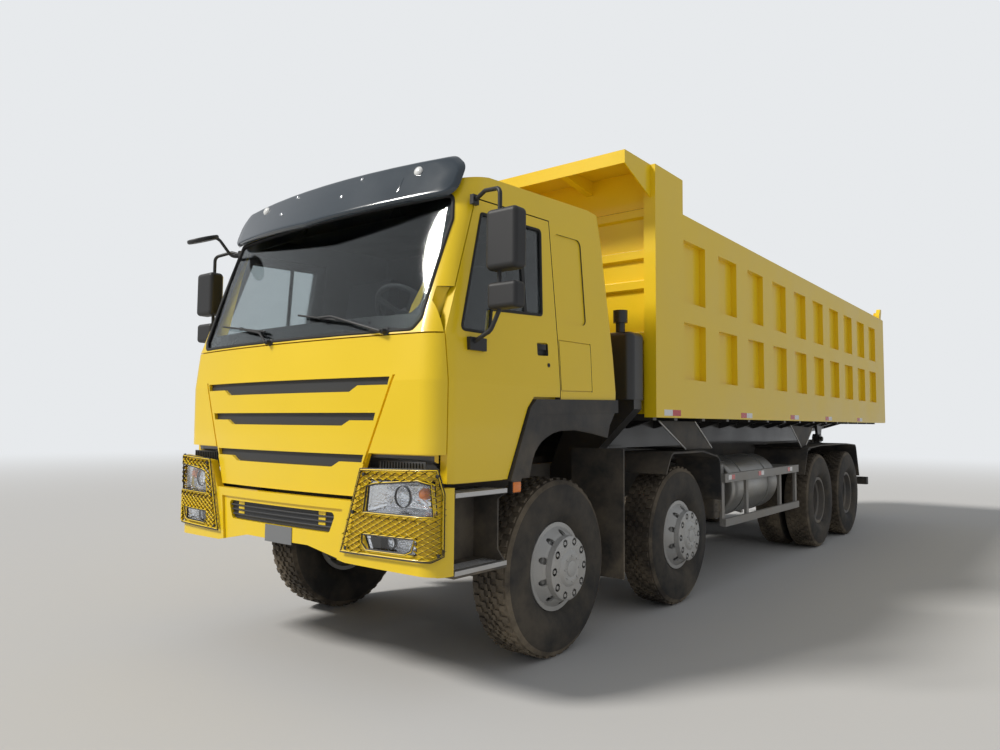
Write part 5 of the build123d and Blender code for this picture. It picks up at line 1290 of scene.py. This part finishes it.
class TRUCK_OT_doors(bpy.types.Operator):
    """Model the doors' window seals, handles and mirror faces"""
    bl_idname = "truck.doors"
    bl_label = "Doors"

    def execute(self, context):
        line = rounded(WINDOW_LINE, 0.024, between=8)
        spots = [cab_side(*spot, -0.002) for spot in line]
        seal = tube("window_seal", spots, WINDOW_SEAL_RADIUS, closed=True)
        low, high = DIVIDER_Z

        def divider(u, v):
            return cab_side(DIVIDER_Y + DIVIDER_HALF * (2 * u - 1), low + (high - low) * v, -0.006)

        trims = joined("window_trim", [seal, bent_sheet("divider", 2, 6, divider, 0.012)])
        dress_both(trims, "rubber_trim", "door_{}", "plastic_black")

        def grip(u, v):
            bulge = 0.018 * sin(pi * min(max(u, 0.02), 0.98)) ** 0.5
            return at(HANDLE_FLOOR + 0.006 + bulge, -0.326 + 0.092 * u, 1.916 + 0.034 * v + 0.004 * u)

        well = block("handle", at(HANDLE_FLOOR + 0.0005, HANDLE_Y[0], HANDLE_Z[0]),
                     at(HANDLE_FLOOR + 0.004, HANDLE_Y[1], HANDLE_Z[1]), 0.001)
        lock = lathe("lock", LOCK, cab_side(-0.225, 1.826, -0.001), 20)
        handle = joined("handles", [well, bent_sheet("grip", 10, 6, grip, 0.006), lock])
        dress_both(handle, "mirror_plastic", "door_{}", "plastic_black")

        faces = [block("face", at(x0, y, z0), at(x1, y + MIRROR_THICKNESS, z1), 0.0012)
                 for x0, x1, z0, z1, y in MIRROR_FACES]
        dress_both(joined("mirror_faces", faces), "mirror_face", "door_{}", "mirror_black")
        return {"FINISHED"}


# Visor

VISOR_LINE = [(-1.084, 2.742), (0.0, 2.690), (1.084, 2.742), (1.094, 2.930), (1.010, 3.005), (-1.010, 3.005),
              (-1.094, 2.930)]
# Share of the way to its middle over which the visor's edge turns back
VISOR_LIP = 0.25
VISOR_ARMS = (-0.7, 0.0, 0.7)
VISOR_ARM_HALF, VISOR_ARM_Z = 0.02, (2.80, 2.90)
VISOR_BOLTS = ((-0.382, 2.853), (0.255, 2.848), (-0.270, 2.958), (0.368, 2.952))
VISOR_BOLT = ((0, 0), (0, 0.013), (0.003, 0.013), (0.007, 0.008), (0.008, 0))
VISOR_MARKERS = ((-0.671, 2.941), (0.807, 2.924))
VISOR_MARKER = ((-0.006, 0), (-0.006, 0.030), (0.006, 0.030), (0.014, 0.024), (0.018, 0.012), (0.018, 0))


class TRUCK_OT_visor(bpy.types.Operator):
    """Model the sun visor with its arms, bolts and marker lamps"""
    bl_idname = "truck.visor"
    bl_label = "Visor"

    def execute(self, context):
        outer = rounded(VISOR_LINE, 0.09, bend=8, between=10)
        inner = rounded(grown(VISOR_LINE, -0.024), 0.08, bend=8, between=10)
        centre = Vector(middle(inner)[0])
        count = len(outer)

        def place(u, v):
            index = round(u * count) % count
            if v < VISOR_LIP:
                spot = Vector(outer[index]).lerp(Vector(inner[index]), v / VISOR_LIP)
            else:
                spot = Vector(inner[index]).lerp(centre, (v - VISOR_LIP) / (1 - VISOR_LIP))
            return visor_front(spot.x, spot.y, -0.030 * max(1 - v / VISOR_LIP, 0) ** 2)

        parts = [bent_sheet("visor_shell", count, 16, place, 0.004)]
        low, high = VISOR_ARM_Z
        for middle_x in VISOR_ARMS:
            x = middle_x - VISOR_ARM_HALF
            line = [visor_front(x, low, -0.002), visor_front(x, high, -0.002), cab_front(x, high, 0.001),
                    cab_front(x, low, 0.001)]
            parts.append(plate("arm", line, (1, 0, 0), 2 * VISOR_ARM_HALF, 0.003))
        dress(joined("visor_shell", parts), "visor_gloss", "cab", "visor_blue", "visor")
        bolts = [lathe("bolt", VISOR_BOLT, visor_front(*spot, 0.0015), 20, (0, -1, 0.5))
                 for spot in VISOR_BOLTS]
        dress(joined("visor_bolts", bolts), "bright_metal", "cab", "visor_blue")
        marks = [lathe("marker", VISOR_MARKER, visor_front(*spot), 28, (0, -1, 0.3))
                 for spot in VISOR_MARKERS]
        dress(joined("visor_markers", marks), "marker_white", "cab", "lamp_glass")
        return {"FINISHED"}


# Bumper's opening, ribbed panels over the guards and blank plate

OPENING_LOW, OPENING_HIGH = (0.478, 0.853), (0.527, 0.962)
OPENING_LINE = [(-OPENING_HIGH[0], OPENING_HIGH[1]), OPENING_HIGH, OPENING_LOW,
                (-OPENING_LOW[0], OPENING_LOW[1])]
# Growth of the opening's half width with height
OPENING_SLANT = 0.45
BARS_Z = (0.880, 0.908, 0.936)
PANEL_LOW, PANEL_HIGH = (0.775, -1.208, 1.180), (1.125, -1.202, 1.262)
PANEL_RIBS, RIB_PITCH = 15, 0.022
PLATE_X, PLATE_Z = (-0.10, 0.16), (0.750, 0.850)


class TRUCK_OT_bumper_trim(bpy.types.Operator):
    """Model the dark insert in the bumper's opening and the blank plate below it"""
    bl_idname = "truck.bumper_trim"
    bl_label = "Bumper trim"

    def execute(self, context):
        edge = rounded(OPENING_LINE, 0.022, between=14)
        parts = [band("insert", edge, middle(edge), lambda x, z, v: bumper_front(x, z, -0.036), 0.004, 6)]
        for z in BARS_Z:
            reach = OPENING_LOW[0] + (z - OPENING_LOW[1]) * OPENING_SLANT - 0.004
            line = [bumper_front(-reach + 2 * reach * i / 12, z, -0.027) for i in range(13)]
            parts.append(tube("bar", line, 0.006))
        dress(joined("bumper_insert", parts), "grille_dark", "chassis", "plastic_black")

        parts = [block("panel", at(*PANEL_LOW), at(*PANEL_HIGH), 0.002)]
        for i in range(PANEL_RIBS):
            x = 0.790 + RIB_PITCH * i
            parts.append(block("rib", at(x, -1.216, 1.190), at(x + 0.008, -1.207, 1.256), 0.002, 1))
        dress_both(joined("guard_panel", parts), "grille_dark", "chassis", "plastic_black")

        (x0, x1), (z0, z1) = PLATE_X, PLATE_Z

        def on_bumper(u, v):
            return bumper_front(x0 + (x1 - x0) * u, z0 + (z1 - z0) * v, -0.0115)

        blank = bent_sheet("number_blank", 8, 4, on_bumper, 0.003)
        dress(blank, "plate_grey", "chassis", "plastic_black")
        return {"FINISHED"}


# Reflectors and the chassis's side

# Reflector pairs: middle behind the first axle, first colour
BED_REFLECTORS = ((1.449, "white"), (3.078, "red"), (4.576, "red"), (5.977, "red"), (7.624, "red"))
GUARD_REFLECTORS = ((2.800, "white"), (3.600, "red"), (4.530, "red"))
# Rows of them: pairs, body, x of the face, low and high edge, length of one colour
REFLECTOR_ROWS = ((BED_REFLECTORS, "bed", BED_HALF, (1.536, 1.584), 0.150),
                  (GUARD_REFLECTORS, "chassis", GUARD_FACE, (0.962, 1.006), 0.080))
# Steps: height, x of the edge
STEP_EDGES = ((0.700, 1.235), (1.100, 1.235))
STEP_Y = (-1.098, -0.664)
STEP_RIBS = 5
# Face of the front arches, behind the first axle and up: along the cab's edge, then back along the opening
ARCH_FACE = (
    (-0.600, 1.150), (-0.593, 1.205), (-0.408, 1.535), (-0.352, 1.574), (0.600, 1.597), (0.482, 1.451),
    (0.458, 1.378), (0.270, 1.409), (0.051, 1.433), (-0.110, 1.430), (-0.193, 1.417), (-0.270, 1.390),
    (-0.325, 1.364), (-0.363, 1.333), (-0.394, 1.300), (-0.417, 1.260), (-0.434, 1.209), (-0.452, 1.150),
)
ARCH_OPENING = ARCH_FACE[5:]
ARCH_X, ARCH_LIP_X = 1.222, 1.226
# Stay plates between the mudguards and the body: outlines behind the first axle and up
STAY_PLATES = (((1.389, 1.495), (2.076, 1.495), (2.440, 1.262), (1.886, 1.262)),
               ((4.721, 1.474), (5.588, 1.440), (5.300, 1.235), (5.120, 1.210)))
STAY_X, STAY_FOOT_X, STAY_THICKNESS = 1.150, 0.600, 0.006
# Battery box: corners of its cover and of its lid, heights of the cover's ribs
BATTERY_COVER = ((0.992, 2.510, 0.620), (1.150, 2.655, 1.110))
BATTERY_LID = ((0.455, 2.715, 1.100), (1.014, 3.085, 1.118))
BATTERY_RIBS = (0.680, 0.740, 0.800, 0.860, 0.920, 0.980)


def reflectors(pairs, body, face, edges, length):
    """Red and white strips on both sides of a body."""
    strips = {"red": [], "white": []}
    for middle_y, first in pairs:
        other = "red" if first == "white" else "white"
        for colour, y in ((first, middle_y - length), (other, middle_y)):
            strips[colour].append(block("strip", at(face - 0.003, y + 0.001, edges[0]),
                                        at(face + 0.0015, y + length - 0.001, edges[1]), 0.001, 1))
    for colour, parts in strips.items():
        dress(paired(f"{body}_{colour}_strips", parts), f"reflector_{colour}", body, "lamp_glass")


def step_edge(z, x):
    """Bright angle along a step's edge, and the ribs behind it."""
    front, back = STEP_Y
    # Low and high x, how far the ends stay in, low z
    bars = [(x - 0.030, x + 0.002, 0.0, z - 0.001), (x - 0.001, x + 0.003, 0.0, z - 0.022)]
    for i in range(STEP_RIBS):
        rib_x = x - 0.055 - i * RIB_PITCH
        bars.append((rib_x, rib_x + 0.008, 0.03, z - 0.001))
    return [block("edge", at(x0, front + end, low), at(x1, back - end, z + 0.003), 0.001, 1)
            for x0, x1, end, low in bars]


class TRUCK_OT_side_trim(bpy.types.Operator):
    """Model the reflectors, the steps' bright edges and the small pieces along the chassis"""
    bl_idname = "truck.side_trim"
    bl_label = "Side trim"

    def execute(self, context):
        for row in REFLECTOR_ROWS:
            reflectors(*row)
        edges = [edge for z, x in STEP_EDGES for edge in step_edge(z, x)]
        dress(paired("step_edges", edges), "bare_aluminium", "chassis", "plastic_black")

        face = plate("arch_face", [Vector(at(ARCH_X, *spot)) for spot in ARCH_FACE], (1, 0, 0), 0.0125, 0.002)
        lip = tube("lip", [at(ARCH_LIP_X, *spot) for spot in ARCH_OPENING], 0.0085)
        dress_both(joined("arch_face", [face, lip]), "step_plastic", "cab", "plastic_black")

        plates, rims = [], []
        out = Vector((STAY_THICKNESS, 0, 0))
        for outline in STAY_PLATES:
            spots = [Vector(at(STAY_X, *spot)) for spot in outline]
            front_top, back_top, back_low, front_low = spots
            plates.append(plate("stay", spots, (1, 0, 0), STAY_THICKNESS, 0.001))
            plates.append(block("foot", (STAY_FOOT_X, front_low.y, front_low.z - 0.008),
                                (STAY_X, back_low.y, front_low.z)))
            for start, end in ((front_top, front_low), (back_top, back_low)):
                rims.append(tube("rim", [start + out, end + out], 0.007))
        dress(paired("stay_plates", plates), "step_plastic", "chassis", "plastic_black")
        dress(paired("stay_rims", rims), "bare_aluminium", "chassis", "plastic_black")

        low, high = BATTERY_COVER
        cover = block("battery_cover", at(*low), at(*high), 0.016, 3)
        ribs = [block("rib", at(high[0] - 0.004, low[1] + 0.020, z),
                      at(high[0] + 0.006, high[1] - 0.020, z + 0.020), 0.003) for z in BATTERY_RIBS]
        low, high = BATTERY_LID
        lid = block("battery_lid", at(*low), at(*high), 0.006)
        dress(joined("battery_cover", [cover, lid] + ribs), "step_plastic", "chassis", "plastic_black")
        return {"FINISHED"}


# The panel and the script's own run

STEPS = (TRUCK_OT_stage, TRUCK_OT_materials, TRUCK_OT_tyres, TRUCK_OT_wheel_trim, TRUCK_OT_lamp_guards,
         TRUCK_OT_lamps, TRUCK_OT_windshield, TRUCK_OT_doors, TRUCK_OT_visor, TRUCK_OT_bumper_trim,
         TRUCK_OT_side_trim)


class TRUCK_PT_panel(bpy.types.Panel):
    """Shows the truck's settings and a button for each step"""
    bl_idname = "TRUCK_PT_panel"
    bl_label = "Dump truck"
    bl_space_type = "VIEW_3D"
    bl_region_type = "UI"
    bl_category = "Truck"

    def draw(self, context):
        for group_name in ("truck_colours", "truck_tyres", "truck_guards", "truck_stage"):
            settings = getattr(context.scene, group_name)
            for key in settings.__annotations__:
                self.layout.prop(settings, key)
        for step in STEPS:
            self.layout.operator(step.bl_idname)


SETTINGS = (("truck_colours", TruckColours), ("truck_tyres", TyreSizes), ("truck_guards", GuardSizes),
            ("truck_stage", StageSizes))


def register():
    for name, kind in SETTINGS:
        bpy.utils.register_class(kind)
        setattr(bpy.types.Scene, name, PointerProperty(type=kind))
    for step in STEPS:
        bpy.utils.register_class(step)
    bpy.utils.register_class(TRUCK_PT_panel)


def unregister():
    bpy.utils.unregister_class(TRUCK_PT_panel)
    for step in STEPS:
        bpy.utils.unregister_class(step)
    for name, kind in SETTINGS:
        delattr(bpy.types.Scene, name)
        bpy.utils.unregister_class(kind)


def main():
    register()
    for step in STEPS:
        family, action = step.bl_idname.split(".")
        getattr(getattr(bpy.ops, family), action)()


if __name__ == "__main__":
    main()
